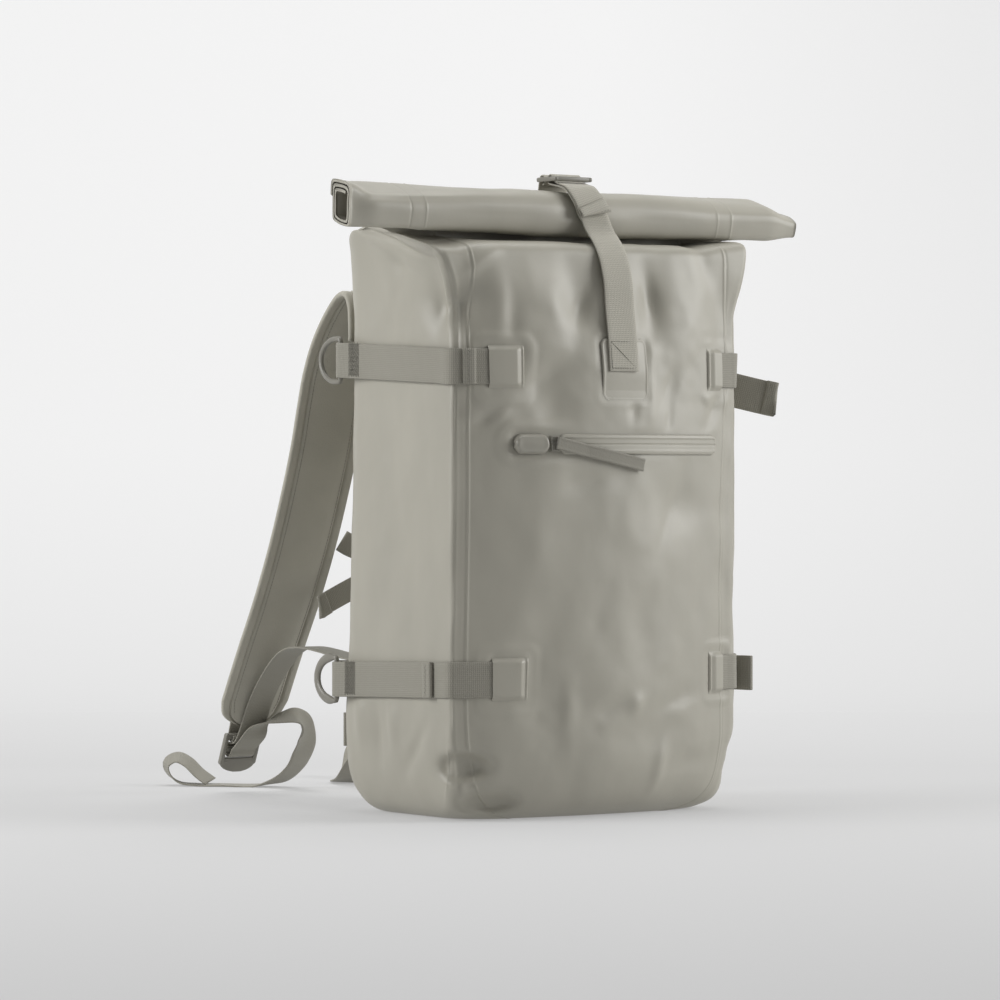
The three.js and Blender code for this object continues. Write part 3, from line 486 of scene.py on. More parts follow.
def ribbon(name, node, path, across, webbing, width=STRAP_WIDTH, thickness=WEB):
    """Webbing along a path; across is the way its width points, for all of it or for each point."""
    if np.ndim(across) == 1:
        fine, _ = resample(path, RIBBON_STEP)
    else:
        fine, across = resample(path, RIBBON_STEP, across)
    outline = band_outline(width, thickness)
    points, faces, uv = sweep(fine, across, [outline] * len(fine))
    return add_mesh(name, points, faces, webbing, (node,), uv)


# Bend of a stitch: share of its length, rise in thread radii
STITCH_BEND = ((0.0, -0.4), (0.25, 0.6), (0.75, 0.6), (1.0, -0.4))


def stitches(name, runs, thread, radius=0.32):
    """Short stitches, each a bent bar; runs lists its start, its end and the way that it stands out."""
    points, faces = [], []
    ring = [(math.cos(a), math.sin(a)) for a in np.linspace(0, 2 * math.pi, 5)[:-1]]
    for run in runs:
        start, end, lift = (np.asarray(v, float) for v in run)
        along = unit(end - start)
        out = unit(lift - along * np.dot(lift, along))
        side = np.cross(along, out)
        faces += grid_faces(len(STITCH_BEND), len(ring), wrap=True, start=len(points))
        for t, rise in STITCH_BEND:
            centre = start + (end - start) * t + out * radius * rise
            points.extend(centre + radius * (c * side + s * out) for c, s in ring)
    return add_mesh(name, points, faces, thread)


def stitch_line(spots, lift, gap):
    """Runs for the stitches between the spots of a line, each shorter by a share at both its ends."""
    lifts = np.broadcast_to(lift, spots.shape)
    steps = zip(spots[:-1], spots[1:], lifts[:-1])
    return [(a + (b - a) * gap, a + (b - a) * (1 - gap), up) for a, b, up in steps]


# Body surface, in stretches round it: four panels and the corners between them
STRETCHES = 8


def section_at(row):
    row = np.clip(np.asarray(row, float), 0, LAST_ROW)
    i = np.minimum(np.floor(row).astype(int), LAST_ROW - 1)
    t = (row - i)[..., None]
    a, b, c, d = (SECTIONS[np.clip(i + n, 0, LAST_ROW)] for n in (-1, 0, 1, 2))
    steep = 3 * np.abs(c - b)
    m0 = np.clip(np.where((b - a) * (c - b) <= 0, 0, (c - a) / 2), -steep, steep)
    m1 = np.clip(np.where((c - b) * (d - c) <= 0, 0, (d - b) / 2), -steep, steep)
    value = b + (c - b) * (3 * t**2 - 2 * t**3) + m0 * (t**3 - 2 * t**2 + t) + m1 * (t**3 - t**2)
    return {key: value[..., k] for k, key in enumerate(SECTION_COLUMNS)}


ROW_STEPS = np.linspace(0, LAST_ROW, 4000)
ROW_HEIGHTS = section_at(ROW_STEPS)["z"]


def row_at(z):
    return np.interp(z, ROW_HEIGHTS, ROW_STEPS)


def dent_depth(panel, along, z):
    depth = np.zeros(np.broadcast(along, z).shape)
    for name, centre, height, reach, tall, deep in DENTS:
        if name == panel:
            depth += deep * np.exp(-(((along - centre) / reach) ** 2) - ((z - height) / tall) ** 2)
    return depth


def full_outline(sec, stretch, t):
    w, rf, rr, rb, front, back = (sec[k] for k in ("half_width", "rf", "rr", "rb", "front", "back"))
    bow = 2 * t - 1
    x_front = rf - w + (2 * w - rf - rr) * t
    y_front = front - sec["bulge"] * (1 - bow**2) + dent_depth("front", x_front, sec["z"])
    y_right = front + rr + (back - rb - front - rr) * t
    y_left = back - rb + (front + rf - back + rb) * t
    turn = t * math.pi / 2
    corners = {
        1: (w - rr + rr * np.sin(turn), front + rr - rr * np.cos(turn)),
        3: (w - rb + rb * np.cos(turn), back - rb + rb * np.sin(turn)),
        5: (rb - w - rb * np.sin(turn), back - rb + rb * np.cos(turn)),
        7: (rf - w - rf * np.cos(turn), front + rf - rf * np.sin(turn)),
    }
    parts = {
        0: (x_front, y_front),
        2: (w - dent_depth("right", y_right, sec["z"]), y_right),
        4: ((w - rb) * -bow, back + 0 * t),
        6: (dent_depth("left", y_left, sec["z"]) - w, y_left),
        **corners,
    }
    x = sum(np.where(stretch == k, parts[k][0], 0) for k in parts)
    y = sum(np.where(stretch == k, parts[k][1], 0) for k in parts)
    return x, y


def neck_outline(sec, stretch, t):
    root = sec["half_width"] - sec["rf"]
    right = (stretch >= 1) & (stretch <= 3)
    out = np.where(right, 1, -1)
    from_front = np.where(right, t, 1 - t)
    from_tip = 2 * from_front - 1
    corner = np.where(from_tip < 0, EAR["front_share"], EAR["back_share"])
    share = np.select(
        [(stretch == 1) | (stretch == 7), (stretch == 3) | (stretch == 5)],
        [EAR["front_share"] * from_front, EAR["back_share"] * (1 - from_front)],
        1 + (corner - 1) * np.abs(from_tip),
    )
    x = np.select(
        [stretch == 0, stretch == 4],
        [(2 * t - 1) * root, (1 - 2 * t) * root],
        out * (root + (EAR["reach"] - root) * share),
    )
    blunt = np.clip(from_tip / EAR["blunt"], -1, 1)
    level = np.select(
        [(stretch <= 1) | (stretch == 7), (stretch >= 3) & (stretch <= 5)], [-1.0, 1.0], blunt,
    )
    return x, NECK_Y + NECK_HALF_THICKNESS * level


def body_point(place, row):
    """Outer surface of the body; place counts its stretches round it, from the front's left end."""
    place, row = np.broadcast_arrays(np.asarray(place, float), np.asarray(row, float))
    sec = section_at(row)
    stretch = np.floor(place).astype(int) % STRETCHES
    t = place - np.floor(place)
    x0, y0 = full_outline(sec, stretch, t)
    x1, y1 = neck_outline(sec, stretch, t)
    return np.stack([x0 + (x1 - x0) * sec["ear"], y0 + (y1 - y0) * sec["pinch"], sec["z"]], axis=-1)


def body_normal(place, row):
    step = 0.004
    place, row = np.asarray(place), np.asarray(row)
    across = body_point(place + step, row) - body_point(place - step + STRETCHES, row)
    above = body_point(place, np.minimum(LAST_ROW, row + step))
    below = body_point(place, np.maximum(0, row - step))
    return unit(np.cross(across, above - below))


def off_body(place, row, distance):
    shape = np.broadcast(place, row).shape
    return body_point(place, row) + body_normal(place, row) * np.broadcast_to(distance, shape)[..., None]


def front_place(x, z):
    sec = section_at(row_at(z))
    start = sec["rf"] - sec["half_width"]
    return (np.asarray(x, float) - start) / (sec["half_width"] - sec["rr"] - start)


def off_front(x, z, distance):
    return off_body(front_place(x, z), row_at(z), distance)


# Cloth folds on each panel: along, z, angle, length, width, depth pressed in (negative stands out)
FOLDS = {
    "front": [
        (-23, 433, 60, 16, 7, 3.2), (48, 440, 95, 18, 7, 3.2), (-95, 420, 92, 24, 8, 2.0),
        (-59, 420, 90, 40, 18, -1.4), (-62, 373, 35, 22, 10, 2.6), (64, 366, 60, 20, 9, 2.6),
        (20, 345, 80, 12, 5, 1.6), (60, 338, 80, 12, 5, 1.6), (40, 342, 80, 12, 6, -1.2),
        (-106, 430, 86, 24, 12, -2.2), (-122, 470, 25, 18, 6, -2.4), (-128, 440, 90, 36, 12, -2.4),
        (-122, 334, 20, 12, 6, 2.2), (-108, 338, 40, 10, 4, -1.4), (56, 246, 65, 28, 7, 1.2),
        (-14, 180, 70, 26, 12, 1.1), (19, 95, 40, 9, 8, -2.2), (-8, 92, 20, 18, 8, 2.2),
        (65, 97, 15, 24, 8, 2.2), (-48, 92, 90, 26, 8, -2.0), (49, 42, 75, 20, 7, -2.6),
        (88, 44, 10, 26, 10, 2.8), (100, 240, 85, 60, 12, 0.9), (-40, 250, 80, 70, 16, 1.0),
        (10, 230, 85, 60, 14, -0.9), (-90, 210, 80, 60, 16, -0.9), (0, 458, 0, 120, 12, 2.2),
        (110, 470, 100, 26, 10, 2.0), (118, 348, 60, 22, 7, 2.0), (-20, 284, 10, 40, 9, 1.6),
        (80, 410, 70, 40, 14, -2.2), (-80, 140, 60, 40, 14, 1.8), (30, 140, 110, 40, 14, 1.0),
    ],
    "left": [
        (-30, 60, 130, 26, 7, 2.6), (2, 78, 92, 24, 9, -3.4), (53, 84, 92, 24, 9, -3.4),
        (28, 66, 90, 24, 8, 3.2), (-13, 462, 10, 18, 7, 2.6), (0, 486, 7, 60, 3, -2.6),
        (-8, 480, 7, 56, 2.6, 3.2), (14, 474, 16, 40, 3, -1.6), (30, 440, 80, 40, 16, 1.4),
        (10, 300, 85, 90, 20, 0.9),
    ],
    "right": [
        (-13, 466, 10, 16, 7, 2.4), (10, 300, 85, 90, 20, 0.8), (30, 70, 90, 26, 10, 1.8),
        (22, 478, 14, 50, 4, 2.4),
    ],
    "back": [(0, 250, 90, 120, 40, -1.5), (60, 120, 70, 50, 18, 1.8), (-60, 130, 110, 50, 18, 1.8)],
}
# Dimples that take in a corner: x, y, z, reach across, reach up, depth, heading in degrees, sharpness
DIMPLES = [
    (-149, -82, 430, 25, 21, 16, 55, 2),
    (-145, -90, 46, 27, 12, 10.5, 50, 5),
    (-113, -84, 16, 25, 9, 10, 65, 5),
    (148, -76, 34, 20, 15, 7, 130, 2),
    (148, -72, 53, 16, 9, 4, 140, 2),
    (150, -80, 424, 20, 26, 4, 120, 2),
]
# Reinforcements that press through the cloth: x0, x1, z0, z1, height, softness, corner, fade to the right
EMBOSSED = [
    (-134, -74, 345, 409, 1.5, 4, 14, 0),
    (-134, -74, 86, 150, 1.2, 5, 12, 0),
    (100, 142, 346, 406, 1.2, 4, 12, 0),
    (100, 142, 90, 148, 1.1, 4, 10, 0),
    (-115, -30, 294, 335, 2.0, 2.5, 20, 62),
    (-22, 46, 344, 414, 0.8, 6, 14, 0),
]
# Places on the front that stay flat under what is fixed there: x0, x1, z0, z1
KEPT_FLAT = [
    (-99, 119, 305, 324), (-13, 37, 351, 405), (-118, -87, 359, 399),
    (-118, -87, 99, 139), (103, 133, 359, 399), (103, 133, 99, 139),
]
SHOULDER = {"rise": 12, "right_rise": 5, "lean": 4, "sag": 6, "x": -156, "y": -82, "reach": 42}
# Front panel's width as the seams and the shell's columns count it, and the seams' lean at the top
FRONT_WIDTH = 280
SEAM_SHARE = SEAM_INSET / (FRONT_WIDTH - 2)
SEAM_LEAN = 12
# Heights between which the folds come in above the floor, and go out below the roll
FOOT_FADE = (1, 14)
NECK_FADE = (492, 501)
# Heights where the cloth is busiest, with their reach up and down, and how busy it is there
BUSY = [(390, 48, 1.0), (85, 38, 0.7)]
# Columns of the shell on each stretch round the body
STRETCH_POINTS = (104, 10, 50, 16, 40, 16, 60, 12)
# Stretches that each panel has to itself, and those before and after where it fades
PANEL_STRETCHES = {"front": (0, 7, 1), "right": (2, 1, 3), "back": (4, 3, 5), "left": (6, 5, 7)}


def value_noise(u, v, cell, seed):
    """Smooth noise from -1 to 1 over a plane, the same on every run."""
    size = 64
    lattice = np.random.default_rng(seed).uniform(-1, 1, (size, size))
    a, b = u / cell, v / cell
    i, j = np.floor(a).astype(int), np.floor(b).astype(int)
    s, t = ease(a - i), ease(b - j)

    def corner(di, dj):
        return lattice[(i + di) % size, (j + dj) % size]

    low = corner(0, 0) * (1 - s) + corner(1, 0) * s
    high = corner(0, 1) * (1 - s) + corner(1, 1) * s
    return low * (1 - t) + high * t


def rounded_box_distance(u, v, box, radius):
    """Distance outside a rounded rectangle, negative inside it."""
    u0, u1, v0, v1 = box
    du = np.abs(u - (u0 + u1) / 2) - (u1 - u0) / 2 + radius
    dv = np.abs(v - (v0 + v1) / 2) - (v1 - v0) / 2 + radius
    return np.hypot(np.maximum(du, 0), np.maximum(dv, 0)) + np.minimum(np.maximum(du, dv), 0) - radius


def panel_weights(place):
    stretch = np.floor(place).astype(int) % STRETCHES
    fade = ease(place - np.floor(place))
    return {
        name: np.select([stretch == full, stretch == before, stretch == after], [1.0, fade, 1 - fade], 0.0)
        for name, (full, before, after) in PANEL_STRETCHES.items()
    }


def panel_folds(weights, x, y, z):
    """Sum of the folds in the table, each on its own panel."""
    height = np.zeros_like(z)
    for panel, folds in FOLDS.items():
        around = x if panel in ("front", "back") else y
        for along, at_z, angle, length, width, depth in folds:
            u, v = around - along, z - at_z
            c, s = turn_ways(angle)
            near = np.exp(-(((u * c + v * s) / length) ** 2) - ((v * c - u * s) / width) ** 2)
            height -= depth * near * weights[panel]
    return height


def rumples(weights, x, y, z):
    """Broad waves of the cloth, and finer ones that are busiest below the roll and above the floor."""
    around = np.where(weights["front"] + weights["back"] > 0.5, x, y)
    waves = value_noise(around, 0.7 * z, 40, 3) + 0.5 * value_noise(around + 400, 0.6 * z, 17, 4)
    busy = 0.3 + sum(share * hump(z, at_z, reach) for at_z, reach, share in BUSY)
    fine = value_noise(around + 150, z, 22, 21) + 0.5 * value_noise(around, z + 90, 11, 22)
    return waves + 0.6 * busy * fine


def strap_calm(x, z):
    """How freely the cloth folds, which is hardly at all under the side straps."""
    calm = np.ones_like(z)
    for strap_z in (UPPER_STRAP_Z + 4, LOWER_STRAP_Z - 3):
        calm *= 1 - 0.95 * hump(z, strap_z, 20, 4) * smooth_step(np.abs(x), 120, 132)
    return calm


def embossing(x, z):
    """Height of the reinforcements that press through the front."""
    uneven = np.clip(0.75 + 0.6 * value_noise(x + 700, z, 26, 11), 0.1, 1.2)
    height = np.zeros_like(z)
    for *box, out, soft, radius, fade in EMBOSSED:
        inside = 1 - smooth_step(rounded_box_distance(x, z, box, radius), -soft, 0.6)
        if fade:
            inside = inside * smooth_step(box[1] - x, 0, fade)
        height += out * inside * uneven
    return height


def seam_height(place, z):
    """Welded seams: the front panel's edge lies over the sides, with a bead along it."""
    height = 0
    inset = SEAM_SHARE + SEAM_LEAN / FRONT_WIDTH * smooth_step(z, 415, 485)
    half = STRETCHES / 2
    for seam, sign in ((inset, 1), (1 - inset, -1)):
        from_seam = (((place - seam + half) % STRETCHES) - half) * FRONT_WIDTH * sign
        bead = 0.55 * hump(from_seam, 0, 0.9) - 0.35 * hump(from_seam, -2.2, 1.2)
        height = height + bead
    return height


def fold_height(place, points):
    """How far the shell stands out from the plain surface."""
    x, y, z = np.moveaxis(points, -1, 0)
    weights = panel_weights(place)
    height = panel_folds(weights, x, y, z) + rumples(weights, x, y, z)
    height *= strap_calm(x, z) * smooth_step(z, *FOOT_FADE) * (1 - smooth_step(z, *NECK_FADE))
    height += embossing(x, z) * weights["front"]
    for box in KEPT_FLAT:
        inside = 1 - smooth_step(rounded_box_distance(x, z, box, 4), -1, 5)
        height *= 1 - inside * weights["front"]
    return height + seam_height(place, z)


def dimple_shift(points):
    """Sideways shift of the cloth where a corner is pressed in."""
    shift = np.zeros_like(points)
    for x, y, z, reach, tall, depth, heading, sharpness in DIMPLES:
        across = np.hypot(points[..., 0] - x, points[..., 1] - y) / reach
        apart = np.hypot(across, (points[..., 2] - z) / tall)
        near = depth * hump(apart, 0, 1, sharpness)
        to_x, to_y = turn_ways(heading)
        shift[..., 0] += near * to_x
        shift[..., 1] += near * to_y
    return shift


def shoulder_shift(points):
    """Shift of the body's top edge: up at the back of the left side, down at its front corner, and in."""
    x, y, z = np.moveaxis(points, -1, 0)
    shift = np.zeros_like(points)
    near_top = smooth_step(z, 430, 486) * (1 - smooth_step(z, 488, 498))
    rise = SHOULDER["rise"] * smooth_step(-x, 100, 160) * smooth_step(y, -60, 30)
    rise = rise + SHOULDER["right_rise"] * smooth_step(x, 110, 160)
    corner = np.hypot(x - SHOULDER["x"], y - SHOULDER["y"])
    shift[..., 2] = near_top * (rise - SHOULDER["sag"] * hump(corner, 0, SHOULDER["reach"]))
    shift[..., 0] = SHOULDER["lean"] * smooth_step(z, 405, 470) * smooth_step(-x, 100, 150)
    return shift


def shell_places():
    """Where the shell's columns stand round the body: evenly, and close together along the seams."""
    even = [np.linspace(k, k + 1, count, endpoint=False) for k, count in enumerate(STRETCH_POINTS)]
    near = np.arange(-3.2, SEAM_LEAN + 3, 0.65) / FRONT_WIDTH
    seams = np.concatenate([SEAM_SHARE + near, 1 - SEAM_SHARE - near])
    clear = 0.4 / FRONT_WIDTH
    kept = [p for p in np.concatenate(even) if p > 1 or np.abs(seams - p).min() > clear]
    return np.sort(np.concatenate([kept, seams % STRETCHES]))


def make_shell(cloth):
    places = shell_places()
    low = np.linspace(0, 3, 16)
    middle = row_at(np.linspace(34, 464, 186))
    high = np.linspace(12, LAST_ROW, 30)
    rows = np.concatenate([low, middle, high])
    place, row = np.meshgrid(places, rows)
    base = body_point(place, row)
    points = base + body_normal(place, row) * fold_height(place, base)[..., None]
    points += dimple_shift(base) + shoulder_shift(base)
    points[..., 2] = np.maximum(points[..., 2], 0)
    columns = len(places)
    faces = grid_faces(len(rows), columns, wrap=True)
    bottom = points[0] * np.array([0.9, 0.9, 1])
    start = len(rows) * columns
    all_points = np.concatenate([points.reshape(-1, 3), bottom])
    faces += [(k, start + k, start + (k + 1) % columns, (k + 1) % columns) for k in range(columns)]
    faces.append([start + k for k in range(columns)][::-1])
    nodes = ("front_panel", "side_panel_left", "side_panel_right", "back_panel", "base_panel")
    return add_mesh("body_shell", all_points, faces, cloth, nodes)


# Rolled mouth of the bag: weld lines across it, as x and height
ROLL_WELDS = [(-175, -0.4), (-160, 0.35), (143, 0.25), (158, 0.35)]
# Corners of the folded roll about its middle, as y and z, along it and at its left end
ROLL_CORNERS = [(-21, 5), (-16, -20), (13, -13), (20, 26)]
ROLL_END_CORNERS = [(-14, 19), (-13, -19), (17, -12), (17, 25)]
# How the roll's ends change: their lengths, the right one's squeeze and drop, and the neck's inset
ROLL_ENDS = {
    "left": 26, "right": 34, "squeeze_y": 0.25, "squeeze_z": 0.42, "drop": 3, "left_grow": 0.05,
    "neck_inset": 18,
}


def squared(value):
    """Cosine or sine of an angle pushed out towards a square."""
    return math.copysign(abs(value) ** (2 / ROLL["squareness"]), value)


def roll_outline():
    """Closed outline of the rolled sheet as y, z: up the outer face and back along the inner one."""
    neck_top = SECTIONS[-1][0]
    centre = [(NECK_Y, neck_top + GAP), (NECK_Y - 0.6, neck_top + 4.5)]
    steps = 44
    for i in range(int(ROLL["turns"] * steps) + 1):
        turn = 0.05 + i / steps
        angle = turn * 2 * math.pi
        shrink = ROLL["layer"] / 2 + ROLL["pitch"] * turn
        y = ROLL["y"] + (ROLL["half_depth"] - shrink) * squared(math.cos(angle))
        z = ROLL["z"] + (ROLL["half_height"] - shrink) * squared(math.sin(angle))
        centre.append((y, z))
    centre = np.array(centre)
    along = tangents(centre)
    out = np.stack([along[:, 1], -along[:, 0]], axis=1)
    half = 0.42 * ROLL["layer"]
    return np.concatenate([centre + out * half, (centre - out * half)[::-1]])


def corner_reach(angle, corners):
    """How far the folded roll's flat faces lie out, against the plain rounded outline."""
    corners = np.array(corners, float)
    sides = np.roll(corners, -1, axis=0) - corners
    normals = np.stack([sides[:, 1], -sides[:, 0]], axis=1)
    normals = unit(normals * np.sign(np.sum(normals * corners, axis=1, keepdims=True)))
    offsets = np.sum(normals * corners, axis=1)
    way = np.stack([np.cos(angle), np.sin(angle)], axis=-1)
    towards = np.maximum(way @ normals.T / offsets, 0)
    flat = np.sum(towards**9, axis=-1) ** (-1 / 9)
    power = ROLL["squareness"]
    halves = np.array([ROLL["half_depth"], ROLL["half_height"]])
    plain = np.sum(np.abs(way / halves) ** power, axis=-1)
    return flat / plain ** (-1 / power)


def roll_relief(x, angle, to_right):
    """Lumps, the crease near the left end and the weld lines, as heights over the roll's outer layer."""
    lumps = 1.1 * value_noise(x + 900, angle * 14, 62, 8) + 0.5 * value_noise(x + 900, angle * 14, 24, 9)
    crease = 1.6 * hump(angle, 2.45, 0.16) * smooth_step(-x, 40, 200)
    bead = sum(size * hump(x, weld, 0.9) for weld, size in ROLL_WELDS)
    pressed = 1.8 * hump(x, BUCKLE["x"], 22, 4) * (np.sin(angle) > -0.2)
    return (lumps + crease + bead) * (1 - to_right) - pressed


def make_roll(cloth):
    outline = roll_outline()
    half = ROLL["half_length"]
    welds = np.array([w + d for w, _ in ROLL_WELDS for d in (-1.6, -0.8, 0, 0.8, 1.6)])
    x = np.sort(np.concatenate([np.linspace(-half, half, 150), welds]))[:, None]
    from_centre = outline - np.array([ROLL["y"], ROLL["z"]])
    distance = np.linalg.norm(from_centre, axis=1)
    angle = np.arctan2(from_centre[:, 1], from_centre[:, 0])[None, :]
    outer = smooth_step(distance, 11, 16)[None, :]
    to_left = smooth_step(-x, half - ROLL_ENDS["left"], half)
    to_right = smooth_step(x, half - ROLL_ENDS["right"], half)

    grow = 1 + roll_relief(x, angle, to_right) * outer / np.maximum(distance, 4)[None, :]
    folded = 0.25 + 0.65 * smooth_step(-x, 60, 225) + 0.45 * smooth_step(x, 40, 200)
    reach = corner_reach(angle, ROLL_CORNERS) * (1 - to_left)
    reach = reach + corner_reach(angle, ROLL_END_CORNERS) * to_left
    grow = grow * (1 + folded * (reach - 1))
    deep = 1 - ROLL_ENDS["squeeze_y"] * to_right
    tall = (1 - ROLL_ENDS["squeeze_z"] * to_right) * (1 + ROLL_ENDS["left_grow"] * to_left)
    y = ROLL["y"] + from_centre[None, :, 0] * grow * deep
    z = ROLL["z"] + from_centre[None, :, 1] * grow * tall - ROLL_ENDS["drop"] * to_right

    x = np.repeat(x, len(outline), axis=1)
    neck = np.arange(len(outline)) % (len(outline) - 3) < 3
    neck_half = half - ROLL_ENDS["neck_inset"]
    x[:, neck] = np.clip(x[:, neck], -neck_half, neck_half)
    points = np.stack([x, y, z], axis=-1)
    faces = tube_faces(*x.shape, flip=True)
    return add_mesh("rolled_mouth", points.reshape(-1, 3), faces, cloth, ("roll_top",))


# Patches and zip on the front panel
def front_pad(name, node, box, material, lift, height, edge, radius, bead, cells):
    """Flexible pad on the front panel whose rounded edges come down to its foot; lift shapes its top."""
    x0, x1, z0, z1 = box
    x, z = np.meshgrid(np.linspace(x0, x1, cells), np.linspace(z0, z1, cells))
    margin = 0.2
    wide = (x0 - margin, x1 + margin, z0 - margin, z1 + margin)
    depth = -rounded_box_distance(x, z, wide, radius)
    inside = round_off(depth / edge)
    out = SEAT + height * inside + bead * hump(depth, edge, 0.7 * edge)
    top = off_front(x, z, out + lift(z) * inside)
    keep = depth.ravel() > -0.3
    faces = [f for f in grid_faces(cells, cells) if all(keep[list(f)])]
    return add_mesh(name, top.reshape(-1, 3), faces, material, (node,))


def tape_lines(z):
    """Groove where the zip's tapes meet, and a raised line along each of them."""
    return -0.5 * hump(z, ZIP["z"], 0.7) + 0.5 * hump(np.abs(z - ZIP["z"]), 5.6, 0.9)


def cap_dome(z):
    return 4.2 * np.sqrt(np.clip(1 - ((z - ZIP["z"]) / ZIP["half_height"]) ** 2, 0, 1))


def runner_groove(z):
    return -1.6 * hump(z - ZIP["z"], 2, 2.2)


def zip_box(x0, x1, half):
    return x0, x1, ZIP["z"] - half, ZIP["z"] + half


def make_zip(cloth, plastic, cap, pull):
    strip = zip_box(ZIP["slider_end"], ZIP["end"], ZIP["half_height"])
    garage = zip_box(ZIP["garage_start"], ZIP["garage_end"], ZIP["half_height"])
    slider = zip_box(ZIP["garage_end"] + GAP, ZIP["slider_end"] - GAP, ZIP["slider_half"])
    front_pad("zip_tape", "zip_strip", strip, cloth, tape_lines,
              height=1.4, edge=1.6, radius=8, bead=0.35, cells=120)
    front_pad("zip_end_cap", "zip_garage", garage, cap, cap_dome,
              height=1.6, edge=3.0, radius=8, bead=0.4, cells=60)
    front_pad("zip_runner", "zip_slider", slider, plastic, runner_groove,
              height=4.4, edge=1.2, radius=1.5, bead=0.5, cells=40)
    make_pull((slider[0] + slider[1]) / 2 + 1, pull)


def make_pull(start, pull):
    """Soft strip that hangs from the slider and settles on the front."""
    top = ZIP["slider_height"] + PULL["thickness"] / 2 + 1
    t = np.linspace(0, 1, 30)
    x = start + (PULL["end_x"] - start) * t
    z = PULL["start_z"] + (PULL["end_z"] - PULL["start_z"]) * t
    path = off_front(x, z, top + (PULL["settled"] - top) * np.minimum(1, 3 * t))
    outline = band_outline(PULL["width"], PULL["thickness"], face_points=13)
    raised = hump(np.abs(outline[:, 0]), 4.2, 0.8)
    outline[:, 1] += np.where(outline[:, 1] > 0, 0.5 * raised, 0)
    fine, _ = resample(path, 1.0)
    points, faces, uv = sweep(fine, UP, [outline] * len(fine))
    add_mesh("zip_pull_strip", points, faces, pull, ("zip_pull",), uv)


def hem_fold(path, outward, length):
    """Turns a path back over itself on its outer face."""
    path = np.asarray(path, float)
    back = unit(path[-2] - path[-1])
    lift = WEB + GAP
    turn = path[-1] - back * lift * 0.45 + outward * lift / 2
    start = path[-1] + outward * lift
    return np.vstack([path, turn, start, start + back * length])


# Side compression straps
SIDE_STRAP_COLUMNS = ("name", "sign", "z", "rise", "leave", "end_y", "end_x", "out", "drop")
SIDE_STRAPS = [
    ("left_upper", -1, UPPER_STRAP_Z, 8, 20, -68, -131, 0, 0),
    ("left_lower", -1, LOWER_STRAP_Z, -5, 20, -62, None, 0, 0),
    ("right_upper", 1, UPPER_STRAP_Z, 8, 30, -46, None, 66, 26),
    ("right_lower", 1, LOWER_STRAP_Z, -5, -30, -76, None, 12, 2),
]
# Strap's end round the back corner: share of the half width, distance behind the back
CORNER_RUN = [(0.985, 1), (0.94, 8), (0.88, 6), (0.78, 0), (0.68, 0)]
RING = {"y": 80, "radius": 2.2, "depth": 31, "flat": 7, "overhang": 3.4, "hem": 11}
RING_FLARE = {"upper": 0.2, "lower": 1.9}
# Points of the ring's corners, behind its bar
RING_CORNER = (1.2, 3.5, 5.5)
# Places round the front corners that a strap goes through, from the front, on the left and the right
FRONT_CORNERS = {-1: (8, 7.66, 7.33, 7), 1: (1, 1.34, 1.67, 2)}
BARTACK = {"rows": 9, "start": 15, "step": 1.5, "slope": 0.25, "parts": 8, "out": 1.75}
SEWN_WIDTH = STRAP_WIDTH - 3


def make_side_strap(strap, cloth, webbing, plastic, thread):
    """Webbing from its patch on the front round the side to the back, with the ring and its strap on top."""
    name, sign, z, rise = (strap[k] for k in ("name", "sign", "z", "rise"))
    row = row_at(z)
    sec = {k: float(v) for k, v in section_at(row).items()}
    side_x = sign * sec["half_width"]
    near = 2 * GAP + WEB / 2

    def off_side(y, distance):
        share = (y - sec["front"]) / (RING["y"] - sec["front"])
        return np.array([side_x + sign * distance, y, z + rise * min(1, max(0, share))])

    corner = FRONT_CORNERS[sign]
    radius = sec["rf"] if sign < 0 else sec["rr"]
    patch_start, patch_end = PATCH["left" if sign < 0 else "right"]
    hidden_end = min(abs(patch_start), abs(patch_end)) + PATCH["run_out"] + 1
    covered = front_place(sign * np.linspace(hidden_end, sec["half_width"] - radius - 4, 4), z)
    places = np.array([*covered, *corner], float)
    path = list(off_body(places, row, near))
    up = list(unit(body_point(places, row + 0.01) - body_point(places, row - 0.01)))
    for y in np.linspace(sec["front"] + radius + 8, sec["back"] - sec["rb"] + 24, 5):
        path.append(off_side(y, near))
    for share, behind in CORNER_RUN:
        path.append(np.array([side_x * share, sec["back"] + near + behind, z + rise]))
    up += [UP] * (len(path) - len(up))
    ribbon("strap_" + name, "side_strap_" + name, path, np.array(up), webbing)

    under = near + WEB + GAP
    bar = off_side(RING["y"], under + WEB / 2 + GAP + RING["radius"])
    make_ring(name, bar, plastic)
    onward = []
    if strap["end_x"] is not None:
        ahead = np.array([*corner[::-1], front_place(strap["end_x"], z)], float)
        onward = list(off_body(ahead, row, under + GAP))
    make_ring_strap(strap, bar, off_side, under, onward, webbing, thread)
    box = (patch_start, patch_end, z - PATCH["half_height"], z + PATCH["half_height"])
    make_strap_patch(name, box, sign, near + WEB / 2 + 2 * GAP, cloth)


